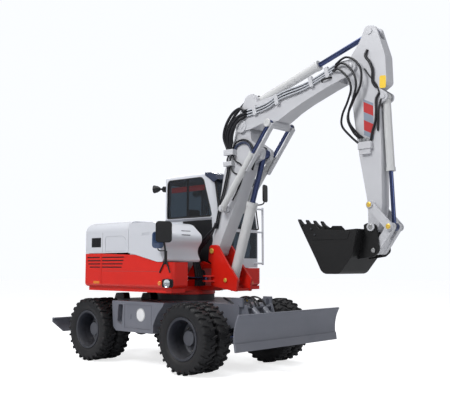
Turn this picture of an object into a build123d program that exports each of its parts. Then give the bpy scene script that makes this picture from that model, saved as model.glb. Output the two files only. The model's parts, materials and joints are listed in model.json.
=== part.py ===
from build123d import *
import os
from math import atan2, cos, degrees, hypot, pi, radians, sin

# A wheeled excavator with twin tyres, a dozer blade, an offset boom in two parts, an arm and a bucket.
# +X is forward, +Y is left, +Z is up, in millimetres. The model is drawn with the slewing axis at
# X = 0, Y = 0 and the ground at Z = 0, and is moved at the end so that its box is centred over the origin.

# Wheels and axles
WHEELBASE = 2170
TYRE_RADIUS = 487
TYRE_WIDTH = 235
TWIN_PITCH = 280
WHEEL_OUTER_Y = 1130
TYRE_SECTORS = 26
LUG_HEIGHT = 22
LUG_OVERLAP = 14
BEAD_RADIUS = 270
BEAD_HALF = 88
FLANGE_RADIUS = 296
FLANGE_WALL = 10
RIM_WELL = 242
RIM_WALL = 12
SEAT_GAP = 0.2
HUB_RADIUS = 140
HUB_CAP_RADIUS = 105
KINGPIN_Y = 560
KINGPIN_RADIUS = 55
SPINDLE_RADIUS = 78
STUB_RADIUS = 60
STUB_INNER = 660
STUB_OUTER = 735
STEER_ARM = 215
STEER_ARM_INSET = 15
AXLE_RADIUS = 68
DIFF_RADIUS = 165

# Chassis
FRAME_HALF = 350
FRAME_FRONT = 1450
FRAME_REAR = -1620
FRAME_TOP = 950
FRAME_LOW = 600
BOX_REAR = -565
BOX_TOP_REAR = -600
BOX_FRONT = 370
BOX_TOP_FRONT = 600
BOX_OUTER_Y = 1000
BOX_LOW = 500
RING_OUTER = 455
RING_INNER = 360
RING_TOP = 1040
REAR_PLATE_X = -2095
REAR_PLATE_HALF = 1100
REAR_PLATE_TOP = 617
REAR_PLATE_LOW = 375
TOW_HOLE_RADIUS = 16

# Blade and its linkage, which is a parallelogram
BLADE_HALF = 1120
BLADE_TOP = (2144, 852)
BLADE_MID = (2068, 630)
BLADE_EDGE = (2089, 392)
BLADE_THICK = 16
BLADE_PIN_LOW = (1985, 500)
BLADE_PIN_RISE = 240
BLADE_LINK = 420
BLADE_LINK_ANGLE = 18
BLADE_ARM_Y = (218, 264)
BLADE_EAR_Y = (270, 298)
BLADE_CYLINDER_Y = 120
BLADE_CYLINDER_BASE = (1500, 890)
BLADE_EYE_ALONG = 320
BLADE_EYE_UP = 60

# Upper structure
DECK_LOW = 1100
DECK_TOP = 1160
BODY_HALF = 1130
TAIL_RADIUS = 1600
BODY_FRONT_RIGHT = 880
BODY_FRONT_LEFT = 640
SKIRT_TOP = 1670
SKIRT_FRONT_TOP = 1530
HOOD_TOP = 2150
PANEL = 15
BODY_ROUND = 60
CORNER_ROUND = 110
HOOD_WALL = 60
HOOD_ROUND = 150
WEIGHT_FRONT = -720
WEIGHT_WALL = 420
WEIGHT_SIDE = 250
LAMP_Z = 1236
LAMP_RADIUS = 66
LAMP_GAP = 0.3
HOOD_FRONT = -60
COVER_LEFT = -400
SEAM = 6

# Cab
CAB_REAR = -670
CAB_FRONT = 620
CAB_RIGHT = 125
CAB_LEFT = 1120
CAB_FLOOR = 1450
CAB_ROOF = 2970
CAB_WALL = 45
CAB_KINK = 2050
CAB_LEAN = 150
CAB_CORNER = 140
CAB_BACK_CORNER = 50
ROOF_ROUND = 50
ROOF_THICK = 52
WINDOW_RISE = 215
WINDOW_DROP = 110
SWING_CLEARANCE = 255
SWING_CLEARANCE_TOP = 1830
GLASS = 6
DOOR_REAR = -330
DOOR_GAP = 6

# Boom, arm and bucket: each pin's place in side view, as (x, z)
SWING_X = 700
FOOT = (750, 1704)
LIFT_BASE = (1030, 1270)
LIFT_EYE = (1640, 3100)
KNEE = (1335, 3535)
ADJUST_BASE = (1021, 2328)
ADJUST_EYE = (1922, 3480)
ARM_BASE = (1515, 3879)
ARM_PIN = (3195, 4060)
ARM_EYE = (3470, 4475)
BUCKET_BASE = (3644, 3594)
ROCKER_PIN = (3453, 2237)
LINK_TOP = (3711, 1956)
BUCKET_PIN = (3474, 1959)
LINK_LOW = (3502, 1668)

BOOM_HALF = 125
ARM_SLOT = 76
FORK_REACH = 252
ARM_EYE_SLOT = 190
KNEE_PLATE_Y = (132, 162)
BRACKET_EAR_Y = (132, 172)
ADJUST_Y = 235
ARM_HALF = 90
ARM_TIP_HALF = 112
FORK_Y = (96, 130)
ROCKER_Y = (120, 142)
BUCKET_EAR_Y = (120, 148)
BUCKET_HALF = 315
BUCKET_WALL = 14
PIN_FIT = 0.08
PIN_RADIUS = 32
EYE_HALF = 35

parts = {}


def outline(points):
    """A flat face from (u, v) points, where a third number rounds that corner."""
    face = Sketch() + make_face(Polyline([(p[0], p[1]) for p in points], close=True))
    for point in points:
        if len(point) == 3:
            corner = face.vertices().sort_by_distance(Vector(point[0], point[1], 0))[0]
            face = fillet(corner, point[2])
    return face


def around(circles):
    """The flat face that a belt round circles (u, v, radius) would enclose."""
    return make_hull([e for u, v, r in circles for e in (Pos(u, v) * Circle(r)).edges()])


def along_y(face, low, high):
    """A face drawn in side view as (x, z), solid from y = low to y = high."""
    return extrude(Plane((0, high, 0), x_dir=(1, 0, 0), z_dir=(0, -1, 0)) * face, high - low)


def along_x(face, low, high):
    """A face drawn in front view as (y, z), solid from x = low to x = high."""
    return extrude(Plane((low, 0, 0), x_dir=(0, 1, 0), z_dir=(1, 0, 0)) * face, high - low)


def along_z(face, low, high):
    """A face drawn in plan as (x, y), solid from z = low to z = high."""
    return extrude(Plane((0, 0, low)) * face, high - low)


def block(x, y, z):
    """A box between the two values of each of x, y and z."""
    size = (x[1] - x[0], y[1] - y[0], z[1] - z[0])
    return Pos((x[0] + x[1]) / 2, (y[0] + y[1]) / 2, (z[0] + z[1]) / 2) * Box(*size)


def bar(start, end, radius):
    """A round bar between two points."""
    run = Vector(end) - Vector(start)
    return Part() + Solid.make_cylinder(radius, run.length, Plane(start, z_dir=run))


def cross_bar(at, radius, low, high):
    """A round bar along Y at a side-view point."""
    return bar((at[0], low, at[1]), (at[0], high, at[1]), radius)


def both_sides(piece):
    """The piece and its mirror image across the middle plane."""
    return piece + mirror(piece, about=Plane.XZ)


def pair_y(face, span):
    """A side-view face as two plates, span being the inner and outer distance from the middle."""
    return both_sides(along_y(face, span[0], span[1]))


def towards(start, end, distance):
    """The side-view point at a distance from start towards end."""
    length = hypot(end[0] - start[0], end[1] - start[1])
    share = distance / length
    return (start[0] + (end[0] - start[0]) * share, start[1] + (end[1] - start[1]) * share)


def turned(point, centre, angle):
    """A side-view point turned by angle in degrees about centre, positive from +X to +Z."""
    c, s = cos(radians(angle)), sin(radians(angle))
    u, v = point[0] - centre[0], point[1] - centre[1]
    return (centre[0] + u * c - v * s, centre[1] + u * s + v * c)


def sector_angles(i):
    """The two angles of sector i of a wheel's ring, counted from the sector that stands on the ground."""
    return [2 * pi * (i + side) / TYRE_SECTORS - pi / 2 for side in (-0.5, 0.5)]


def flat(*corners):
    """A flat face from (radius, y, angle) corners about the Y axis."""
    return Face(Wire.make_polygon([(r * cos(a), y, r * sin(a)) for r, y, a in corners]))


def faceted_ring(profile):
    """A ring about the Y axis with flat faces round it, from (radius, y) corners in order."""
    faces = []
    for i in range(TYRE_SECTORS):
        a, b = sector_angles(i)
        for (r0, y0), (r1, y1) in zip(profile, profile[1:] + profile[:1]):
            faces.append(flat((r0, y0, a), (r1, y1, a), (r1, y1, b), (r0, y0, b)))
    return Part() + Solid(Shell(faces))


def lugged_ring(bead, lip, belly, base, top, half):
    """A tyre about the Y axis: in each sector a lug stands on one side in turn, a little past the middle.
    bead is (radius, half width), and lip, belly, base and top are radii, from the bead's edge outwards."""
    faces = []
    for i in range(TYRE_SECTORS):
        a, b = sector_angles(i)
        side = 1 if i % 2 else -1
        outer, over = side * half, side * LUG_OVERLAP
        strips = [(bead[0], -bead[1], bead[0], bead[1]), (top, outer, base, outer), (top, outer, top, over),
                  (top, over, top, -over), (top, -over, base, -over), (base, -over, base, -outer)]
        for y in (-1, 1):
            strips += [(bead[0], y * bead[1], lip, y * bead[1]), (lip, y * bead[1], belly, y * half),
                       (belly, y * half, base, y * half)]
        faces += [flat((r0, y0, a), (r1, y1, a), (r1, y1, b), (r0, y0, b)) for r0, y0, r1, y1 in strips]
        for y0, y1 in ((outer, over), (-outer, -over)):
            faces.append(flat((base, y0, b), (top, y0, b), (top, y1, b), (base, y1, b)))
    return Part() + Solid(Shell(faces))


def cylinder_pair(base, eye, radius, rod_radius, barrel_length, rod_start, eye_radius, half, middles,
                  pin=PIN_RADIUS):
    """A hydraulic barrel with its base eye, and its rod with its eye, at each middle y. The rod's inner end
    lies at rod_start from the base, far enough in for its whole stroke."""
    barrel = Part()
    rod = Part()
    gland = towards(base, eye, barrel_length)
    start = towards(base, eye, eye_radius * 0.8)
    bore_end = towards(base, eye, eye_radius * 1.2)
    stop = towards(eye, base, eye_radius * 0.8)
    collar = towards(base, eye, barrel_length - radius * 0.9)
    for y in middles:
        point = lambda p: (p[0], y, p[1])
        barrel += cross_bar(base, eye_radius, y - half, y + half)
        barrel += bar(point(start), point(gland), radius)
        barrel += bar(point(collar), point(gland), radius * 1.14)
        barrel -= bar(point(bore_end), point(towards(base, eye, barrel_length + 1)), rod_radius + PIN_FIT)
        barrel -= cross_bar(base, pin + PIN_FIT, y - half, y + half)
        rod += bar(point(towards(base, eye, rod_start)), point(stop), rod_radius)
        rod += cross_bar(eye, eye_radius, y - half, y + half)
        rod -= cross_bar(eye, pin, y - half, y + half)
    return barrel, rod


# Wheels: twin tyres on one pair of rims, drawn about the Y axis and then put in place

axle_z = TYRE_RADIUS
half_tyre = TYRE_WIDTH / 2
outer_mid = WHEEL_OUTER_Y - half_tyre
inner_mid = outer_mid - TWIN_PITCH
wheel_mid = (outer_mid + inner_mid) / 2
corner_radius = TYRE_RADIUS / cos(pi / TYRE_SECTORS)
tyre = lugged_ring((BEAD_RADIUS, BEAD_HALF), FLANGE_RADIUS + 5, FLANGE_RADIUS + 45,
                   corner_radius - LUG_HEIGHT, corner_radius, half_tyre)
seat_radius = BEAD_RADIUS - SEAT_GAP
flange_in = BEAD_HALF + SEAT_GAP
flange_out = flange_in + FLANGE_WALL
band_radius = RIM_WELL + RIM_WALL


def rim_ends(middle):
    """One rim's outer profile of (radius, y), from its outer flange to its inner one."""
    return [
        (FLANGE_RADIUS, middle + flange_out), (FLANGE_RADIUS, middle + flange_in),
        (seat_radius, middle + flange_in),
        (seat_radius, middle - flange_in), (FLANGE_RADIUS, middle - flange_in),
        (FLANGE_RADIUS, middle - flange_out),
    ]


rim_profile = [(RIM_WELL, outer_mid + flange_out)] + rim_ends(outer_mid)
rim_profile += [(band_radius, outer_mid - flange_out), (band_radius, inner_mid + flange_out)]
rim_profile += rim_ends(inner_mid) + [(RIM_WELL, inner_mid - flange_out)]
hub = faceted_ring(rim_profile)


def drum(radius, low, high):
    """A round drum about the Y axis between two values of y."""
    return bar((0, low, 0), (0, high, 0), radius)


disc_corner = RIM_WELL + 2
disc_face = Sketch() + RegularPolygon(disc_corner, TYRE_SECTORS, rotation=180 / TYRE_SECTORS)
hub += along_y(disc_face, wheel_mid - 9, wheel_mid + 9)
hub += drum(HUB_RADIUS, STUB_INNER + 8, wheel_mid + 20)
hub += drum(HUB_CAP_RADIUS, wheel_mid, wheel_mid + 120)
hub -= bar((0, STUB_INNER, 0), (0, STUB_OUTER + 5, 0), STUB_RADIUS + PIN_FIT)


def build_wheel(x, side):
    """Twin tyres and their rims with the hub, on one side of an axle. The side is +1 on the left."""
    tyres = Part()
    rims = hub
    for middle in (inner_mid, outer_mid):
        tyres += Pos(0, middle, 0) * tyre
    if side < 0:
        tyres, rims = mirror(tyres, about=Plane.XZ), mirror(rims, about=Plane.XZ)
    place = Pos(x, 0, axle_z)
    return place * tyres, place * rims


front_x = WHEELBASE / 2
rear_x = -WHEELBASE / 2
wheels = [("front_left", front_x, 1), ("front_right", front_x, -1), ("rear_left", rear_x, 1),
          ("rear_right", rear_x, -1)]
for name, x, side in wheels:
    parts["tyres_" + name], parts["rims_" + name] = build_wheel(x, side)

# Rear axle, straight through to the hubs

rear_axle = bar((rear_x, -590, axle_z), (rear_x, 590, axle_z), AXLE_RADIUS)
rear_axle += both_sides(bar((rear_x, 585, axle_z), (rear_x, STUB_INNER, axle_z), 112))
rear_axle += both_sides(bar((rear_x, STUB_INNER - 10, axle_z), (rear_x, STUB_OUTER, axle_z), STUB_RADIUS))
rear_axle += Pos(rear_x, 0, axle_z) * Sphere(DIFF_RADIUS)
rear_axle += both_sides(block((rear_x - 60, rear_x + 60), (180, 300), (axle_z, FRAME_LOW)))
rear_axle -= block((rear_x - 300, rear_x + 300), (-300, 300), (FRAME_LOW, FRAME_LOW + 200))
parts["rear_axle"] = rear_axle

# Front axle with a yoke at each end for the kingpin, and the steering cylinder before it

yoke_x = 50
front_axle = bar((front_x, -450, axle_z), (front_x, 450, axle_z), AXLE_RADIUS)
front_axle += Pos(front_x, 0, axle_z) * Sphere(DIFF_RADIUS)
front_axle += block((front_x - 60, front_x + 60), (-170, 170), (axle_z, FRAME_LOW))
front_axle -= block((front_x - 300, front_x + 300), (-300, 300), (FRAME_LOW, FRAME_LOW + 200))
yoke = block((front_x - yoke_x, front_x + yoke_x), (430, 495), (axle_z - 122, axle_z + 122))
for low in (-122, 92):
    lug = along_z(around([(front_x, 470, yoke_x), (front_x, KINGPIN_Y, yoke_x)]), axle_z + low,
                  axle_z + low + 30)
    yoke += lug
yoke += bar((front_x, KINGPIN_Y, axle_z - 122), (front_x, KINGPIN_Y, axle_z + 122), 22)
front_axle += both_sides(yoke)
steer_x = front_x + STEER_ARM
steer_barrel = bar((steer_x, -190, axle_z), (steer_x, 190, axle_z), 42)
steer_barrel += both_sides(block((front_x, steer_x), (135, 185), (axle_z - 30, axle_z + 30)))
steer_barrel -= bar((steer_x, -200, axle_z), (steer_x, 200, axle_z), 22 + PIN_FIT)
front_axle = front_axle + steer_barrel
front_axle -= bar((steer_x, -200, axle_z), (steer_x, 200, axle_z), 22 + PIN_FIT)
parts["front_axle"] = front_axle

rod_end = KINGPIN_Y - STEER_ARM_INSET
steer_rod = bar((steer_x, -rod_end + 10, axle_z), (steer_x, rod_end - 10, axle_z), 22)
steer_rod -= both_sides(block((steer_x - 30, steer_x + 30), (470, 560), (axle_z + 8, axle_z + 40)))
steer_rod += both_sides(along_z(Pos(steer_x, rod_end) * Circle(24), axle_z - 14, axle_z + 8))
parts["steer_rod"] = steer_rod


def build_knuckle(side):
    """The kingpin barrel, the stub that carries the wheel and the steering arm."""
    knuckle = bar((front_x, KINGPIN_Y, axle_z - 87), (front_x, KINGPIN_Y, axle_z + 87), KINGPIN_RADIUS)
    knuckle += bar((front_x, KINGPIN_Y, axle_z), (front_x, STUB_INNER, axle_z), SPINDLE_RADIUS)
    knuckle += bar((front_x, STUB_INNER - 10, axle_z), (front_x, STUB_OUTER, axle_z), STUB_RADIUS)
    knuckle -= bar((front_x, KINGPIN_Y - 70, axle_z), (front_x, KINGPIN_Y, axle_z), SPINDLE_RADIUS + 1)
    knuckle += bar((front_x, KINGPIN_Y, axle_z - 87), (front_x, KINGPIN_Y, axle_z + 87), KINGPIN_RADIUS)
    knuckle += along_z(around([(front_x, KINGPIN_Y, 24), (steer_x, rod_end, 20)]), axle_z + 14, axle_z + 38)
    knuckle -= bar((front_x, KINGPIN_Y, axle_z - 90), (front_x, KINGPIN_Y, axle_z + 90), 22 + PIN_FIT)
    return knuckle if side > 0 else mirror(knuckle, about=Plane.XZ)


parts["knuckle_left"] = build_knuckle(1)
parts["knuckle_right"] = build_knuckle(-1)

# Chassis: a welded box with the slewing ring on it, brackets for the blade in front and beams behind

link_dx = BLADE_LINK * cos(radians(BLADE_LINK_ANGLE))
link_dz = BLADE_LINK * sin(radians(BLADE_LINK_ANGLE))
BLADE_ROOT_LOW = (BLADE_PIN_LOW[0] - link_dx, BLADE_PIN_LOW[1] - link_dz)
BLADE_ROOT_HIGH = (BLADE_ROOT_LOW[0], BLADE_ROOT_LOW[1] + BLADE_PIN_RISE)
BLADE_PIN_HIGH = (BLADE_PIN_LOW[0], BLADE_PIN_LOW[1] + BLADE_PIN_RISE)

FRAME_TAIL = (FRAME_REAR + 150, 930)
FRAME_TOP_REAR = -620
frame_side = [
    (FRAME_REAR, 660, 30), (FRAME_REAR, 820, 60), (*FRAME_TAIL, 60), (FRAME_TOP_REAR, FRAME_TOP),
    (520, FRAME_TOP),
    (FRAME_FRONT, 930, 30), (FRAME_FRONT, FRAME_LOW, 30), (640, FRAME_LOW), (500, 470, 40), (-560, 470, 40),
    (-700, FRAME_LOW), (-1450, FRAME_LOW),
]
frame = along_y(outline(frame_side), -FRAME_HALF, FRAME_HALF)
ear_side = around([(*BLADE_ROOT_LOW, 48), (*BLADE_ROOT_HIGH, 48), (*BLADE_CYLINDER_BASE, 42),
                   (1400, 640, 30)])
frame += pair_y(ear_side, BLADE_EAR_Y)
frame += cross_bar(BLADE_CYLINDER_BASE, 24, -BLADE_EAR_Y[0] - 5, BLADE_EAR_Y[0] + 5)
for root in (BLADE_ROOT_LOW, BLADE_ROOT_HIGH):
    frame += both_sides(cross_bar(root, 22, BLADE_ARM_Y[0], BLADE_EAR_Y[1] + 8))
beam = along_y(outline([(-1430, 680), (FRAME_REAR + 60, 690), (REAR_PLATE_X + 20, 590),
                        (REAR_PLATE_X + 20, 440),
                        (-1700, 440), (-1430, 590)]), 240, 330)
frame += both_sides(beam)
parts["chassis_frame"] = frame

# Side boxes between the axles: tools on the right, and two steps up to the cab on the left

box_side = [(BOX_REAR, BOX_LOW + 60, 30), (BOX_TOP_REAR, FRAME_TOP, 25), (BOX_TOP_FRONT, FRAME_TOP),
            (BOX_TOP_FRONT - 30, 900),
            (BOX_TOP_FRONT - 130, 800), (BOX_FRONT + 35, 700), (BOX_FRONT, 620, 40), (BOX_FRONT, BOX_LOW, 30),
            (BOX_REAR + 70, BOX_LOW, 40)]
side_box = along_y(outline(box_side), FRAME_HALF, BOX_OUTER_Y)
tool_box = mirror(side_box, about=Plane.XZ)
door_x, door_z = (-290, 330), (BOX_LOW + 55, FRAME_TOP - 45)
side_y = -BOX_OUTER_Y
tool_box -= block(door_x, (side_y - 5, side_y + 8), door_z)
tool_box += block((door_x[0] + 6, door_x[1] - 6), (side_y + 1, side_y + 8), (door_z[0] + 6, door_z[1] - 6))
tool_box -= block((door_x[0] + 150, door_x[0] + 178), (side_y - 5, side_y + 6), (690, 760))
slot = along_y(outline([(-465, 620, 40), (-355, 600, 20), (-330, 900, 20), (-440, 900, 20)]), side_y - 5,
               side_y + 130)
tool_box -= slot
parts["tool_box"] = tool_box
step_box = side_box
for low in (BOX_LOW + 70, BOX_LOW + 260):
    step_box -= block((-330, 170), (BOX_OUTER_Y - 190, BOX_OUTER_Y + 5), (low, low + 150))
parts["step_box"] = step_box

# Rubber-covered hose junctions on the frame's top, beside the slewing ring

JUNCTION_HALF = 130
slope = (FRAME_TOP - FRAME_TAIL[1]) / (FRAME_TOP_REAR - FRAME_TAIL[0])
junctions = Part()
for x, fall in ((-1190, slope), (-500, 0)):
    rear, front = x - JUNCTION_HALF, x + JUNCTION_HALF
    rear_z, front_z = FRAME_TOP + fall * (rear - FRAME_TOP_REAR), FRAME_TOP + fall * (front - FRAME_TOP_REAR)
    cap = outline([(rear, rear_z), (front, front_z), (front - 25, front_z + 100, 35),
                   (rear + 45, rear_z + 100, 35)])
    junctions += both_sides(along_y(cap, FRAME_HALF - 75, FRAME_HALF + 55))
parts["hose_junctions"] = junctions

# Rear plate across the chassis end, with a jaw for a tow pin in its middle

plate_end = REAR_PLATE_TOP - 70
rear_face = outline([
    (-REAR_PLATE_HALF, REAR_PLATE_TOP), (REAR_PLATE_HALF, REAR_PLATE_TOP), (REAR_PLATE_HALF, plate_end),
    (REAR_PLATE_HALF - 215, REAR_PLATE_LOW), (-REAR_PLATE_HALF + 215, REAR_PLATE_LOW),
    (-REAR_PLATE_HALF, plate_end),
])
rear_plate = along_x(rear_face, REAR_PLATE_X - 5, REAR_PLATE_X + 20)
rear_plate += along_x(outline([(-REAR_PLATE_HALF, REAR_PLATE_TOP - 14),
                               (REAR_PLATE_HALF, REAR_PLATE_TOP - 14),
                               (REAR_PLATE_HALF, REAR_PLATE_TOP), (-REAR_PLATE_HALF, REAR_PLATE_TOP)]),
                      REAR_PLATE_X - 5, REAR_PLATE_X + 75)
rear_plate -= both_sides(block((REAR_PLATE_X + 20, REAR_PLATE_X + 80), (235, 335), (430, 630)))
for low in (430, 520):
    rear_plate += block((REAR_PLATE_X - 95, REAR_PLATE_X - 5), (-55, 55), (low, low + 30))
rear_plate -= bar((REAR_PLATE_X - 60, 0, 400), (REAR_PLATE_X - 60, 0, 600), TOW_HOLE_RADIUS)
parts["rear_plate"] = rear_plate

# Slewing ring: the fixed race, in which the upper frame's spigot turns

ring = along_z(Circle(RING_OUTER) - Circle(RING_INNER), FRAME_TOP, RING_TOP)
parts["slew_ring"] = ring

# Drive line under the frame: gearbox and shafts to both axles

gearbox = block((-150, 150), (-120, 120), (360, 470))
gearbox += bar((-150, 0, 400), (-260, 0, 403), 44)
gearbox += bar((-240, 0, 402), (rear_x + 140, 0, axle_z - 20), 32)
gearbox += bar((150, 0, 400), (240, 0, 403), 44)
gearbox += bar((220, 0, 402), (front_x - 140, 0, axle_z - 20), 32)
gearbox -= Pos(rear_x, 0, axle_z) * Sphere(DIFF_RADIUS + 0.3)
gearbox -= Pos(front_x, 0, axle_z) * Sphere(DIFF_RADIUS + 0.3)
parts["drive_line"] = gearbox

# Blade with its lower arms, upper links and lift cylinders

blade_arc = ThreePointArc(BLADE_TOP, BLADE_MID, BLADE_EDGE)
blade_back = [(BLADE_EDGE[0] - BLADE_THICK - 6, BLADE_EDGE[1]), (BLADE_MID[0] - BLADE_THICK, BLADE_MID[1]),
              (BLADE_TOP[0] - BLADE_THICK - 6, BLADE_TOP[1])]
blade_face = make_face([blade_arc, Line(BLADE_EDGE, blade_back[0]), ThreePointArc(*blade_back),
                        Line(blade_back[2], BLADE_TOP)])
blade = along_y(blade_face, -BLADE_HALF, BLADE_HALF)
blade += cross_bar((BLADE_TOP[0] - 16, BLADE_TOP[1] - 2), 16, -BLADE_HALF, BLADE_HALF)
rib_side = outline([(BLADE_PIN_LOW[0] - 40, BLADE_PIN_LOW[1] - 50, 30),
                    (BLADE_PIN_LOW[0] - 40, BLADE_PIN_HIGH[1] + 40, 30),
                    (2112, BLADE_PIN_HIGH[1] + 70), (2062, 640), (2060, 560), (2066, 440)])
blade += pair_y(rib_side, BLADE_EAR_Y)
for y in (560, 900):
    blade += pair_y(outline([(2070, 430), (2010, 520), (2010, 700), (2110, 800), (2058, 640)]), (y, y + 14))
for pin in (BLADE_PIN_LOW, BLADE_PIN_HIGH):
    blade += both_sides(cross_bar(pin, 22, BLADE_ARM_Y[0], BLADE_EAR_Y[1] + 8))
edge_face = outline([(BLADE_EDGE[0] - 22, BLADE_EDGE[1]), (BLADE_EDGE[0] + 4, BLADE_EDGE[1]), (2079, 500),
                     (2060, 500)])
blade += along_y(edge_face, -BLADE_HALF, BLADE_HALF)
parts["blade"] = blade

blade_eye = turned((BLADE_ROOT_LOW[0] + BLADE_EYE_ALONG, BLADE_ROOT_LOW[1] + BLADE_EYE_UP), BLADE_ROOT_LOW,
                   BLADE_LINK_ANGLE)
tube_at = turned((BLADE_ROOT_LOW[0] + 210, BLADE_ROOT_LOW[1]), BLADE_ROOT_LOW, BLADE_LINK_ANGLE)
arm_side = around([(*BLADE_ROOT_LOW, 42), (*tube_at, 52), (*BLADE_PIN_LOW, 42)])
blade_arms = pair_y(arm_side, BLADE_ARM_Y)
blade_arms += cross_bar(tube_at, 38, -BLADE_ARM_Y[0] - 5, BLADE_ARM_Y[0] + 5)
lug_side = around([(*tube_at, 36), (*blade_eye, 34)])
for y in (-BLADE_CYLINDER_Y, BLADE_CYLINDER_Y):
    for gap in (-46, 28):
        blade_arms += along_y(lug_side, y + gap, y + gap + 18)
for pin in (BLADE_ROOT_LOW, BLADE_PIN_LOW):
    blade_arms -= both_sides(cross_bar(pin, 22 + PIN_FIT, BLADE_ARM_Y[0] - 5, BLADE_ARM_Y[1] + 5))
parts["blade_arms"] = blade_arms

link_side = around([(*BLADE_ROOT_HIGH, 34), (*BLADE_PIN_HIGH, 34)])
blade_links = pair_y(link_side, BLADE_ARM_Y)
for pin in (BLADE_ROOT_HIGH, BLADE_PIN_HIGH):
    blade_links -= both_sides(cross_bar(pin, 22 + PIN_FIT, BLADE_ARM_Y[0] - 5, BLADE_ARM_Y[1] + 5))
parts["blade_links"] = blade_links

parts["blade_barrels"], parts["blade_rods"] = cylinder_pair(
    BLADE_CYLINDER_BASE, blade_eye, 42, 20, 400, 70, 36, 22, (-BLADE_CYLINDER_Y, BLADE_CYLINDER_Y), 24)

# Upper frame: deck, spigot in the slewing ring, and the two lugs of the boom's swing pin


def tail_plan(inset):
    """The body's plan behind the slewing axis, drawn in by a distance."""
    half = BODY_HALF - inset
    return Circle(TAIL_RADIUS - inset) & Pos(-TAIL_RADIUS / 2, 0) * Rectangle(TAIL_RADIUS, 2 * half)


rear_half = tail_plan(0)


def plan(x_low, x_high, y_low, y_high):
    """A rectangle in plan, between two values of x and of y."""
    return Pos((x_low + x_high) / 2, (y_low + y_high) / 2) * Rectangle(x_high - x_low, y_high - y_low)


deck_half = BODY_HALF - BODY_ROUND
body_plan = tail_plan(BODY_ROUND) + plan(-10, BODY_FRONT_LEFT - PANEL, -250, deck_half)
body_plan += plan(-10, BODY_FRONT_RIGHT - BODY_ROUND, -deck_half, -800)
body_plan += plan(-10, 420, -810, -240)
body_plan -= plan(420, 1000, -800, 560)
body_plan = Sketch() + body_plan
deck = along_z(body_plan, DECK_LOW, DECK_TOP)
deck += along_z(Circle(RING_OUTER + 10), RING_TOP + 6, DECK_LOW)
deck += along_z(Circle(RING_INNER - PIN_FIT), FRAME_TOP + 20, DECK_LOW)
neck = around([(SWING_X, 0, 80), (420, 0, 100)])
for low, high in ((DECK_LOW + 10, DECK_TOP + 20), (1440, 1505)):
    deck += along_z(neck, low, high)
tower_side = outline([(60, DECK_TOP), (430, DECK_TOP), (470, 1440), (470, 1505), (300, 1560, 60),
                      (60, 1260, 40)])
deck += along_y(tower_side, -90, -60) + along_y(tower_side, 60, 90)
deck += block((440, 470), (-90, 90), (DECK_TOP, 1505))
deck -= bar((SWING_X, 0, DECK_LOW), (SWING_X, 0, 1600), 40)
deck += bar((SWING_X, 0, DECK_LOW + 4), (SWING_X, 0, 1512), 40)
parts["upper_frame"] = deck

# Counterweight, red skirts and white covers round the deck

weight_plan = rear_half & plan(-TAIL_RADIUS, WEIGHT_FRONT, -BODY_HALF, BODY_HALF)
weight = along_z(weight_plan, DECK_TOP, SKIRT_TOP)
rim_edges = weight.edges().group_by(Axis.Z)[0].filter_by(lambda e: e.center().X < WEIGHT_FRONT - 10)
weight = fillet(rim_edges, BODY_ROUND - 5)
weight_bay = plan(WEIGHT_WALL - TAIL_RADIUS, WEIGHT_FRONT + 5, WEIGHT_SIDE - BODY_HALF,
                  BODY_HALF - WEIGHT_SIDE)
weight -= along_z(weight_bay, DECK_TOP - 5, SKIRT_TOP + 5)
slot_rows = (1350, 1448, 1546)
for low in slot_rows:
    for start in (208, 137):
        ring_band = Circle(TAIL_RADIUS + 10) - Circle(TAIL_RADIUS - 60)
        wedge = make_face(Polyline([(0, 0), (2000 * cos(radians(start)), 2000 * sin(radians(start))),
                                    (2000 * cos(radians(start + 15)), 2000 * sin(radians(start + 15)))],
                                    close=True))
        weight -= along_z(ring_band & (Sketch() + wedge), low - 22, low + 22)
louvre_rows = [(1610, -1080, -760), (1560, -1080, -740), (1510, -1060, -740), (1460, -1020, -740)]
for z, start, end in louvre_rows:
    for y in (-BODY_HALF - 5, BODY_HALF - 12):
        weight -= block((start, end), (y, y + 17), (z - 9, z + 9))
parts["counterweight"] = weight


def lower_panel(face, top, cut):
    """A hollow red side panel from its plan, rounded under at its outer foot, less what cut encloses."""
    shell = along_z(face, DECK_TOP, top)
    feet = shell.edges().group_by(Axis.Z)[0]
    outer = feet.filter_by(lambda e: abs(e.center().Y) > BODY_HALF - CORNER_ROUND
                           or e.center().X > BODY_FRONT_LEFT - 12)
    shell = fillet(outer, BODY_ROUND - 5)
    hollow = along_z(offset(face, -PANEL), DECK_TOP + PANEL, top + 5)
    hollow = fillet(hollow.edges().group_by(Axis.Z)[0], BODY_ROUND - 20)
    return shell - hollow - cut


front_right = BODY_FRONT_RIGHT - 2
panel_rear = WEIGHT_FRONT + SEAM
right_face = outline([(panel_rear, -BODY_HALF), (front_right, -BODY_HALF, CORNER_ROUND), (front_right, -800),
                      (panel_rear, -800)])
right_cut = block((panel_rear - 5, 405), (-BODY_HALF + BODY_ROUND, -795), (DECK_TOP - 5, SKIRT_TOP + 5))
right_cut += block((panel_rear - 5, panel_rear + PANEL + 2), (-BODY_HALF + PANEL, -795),
                   (DECK_TOP + PANEL, SKIRT_TOP + 5))
above = along_y(outline([(front_right + 5, SKIRT_FRONT_TOP), (600, SKIRT_FRONT_TOP), (100, SKIRT_TOP - 30),
                         (panel_rear - 5, SKIRT_TOP), (panel_rear - 5, SKIRT_TOP + 60),
                         (front_right + 5, SKIRT_TOP + 60)]),
                -BODY_HALF - 5, -700)
skirt_right = lower_panel(right_face, SKIRT_TOP, right_cut + above)
for z in [row[0] for row in louvre_rows]:
    louvre_front = panel_rear + 560 - (1610 - z) * 0.4
    skirt_right -= block((panel_rear + 12, louvre_front), (-BODY_HALF - 5, -BODY_HALF + 12), (z - 9, z + 9))
lamp_angle = radians(-70)
lamp_x = front_right - CORNER_ROUND + CORNER_ROUND * cos(lamp_angle)
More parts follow.
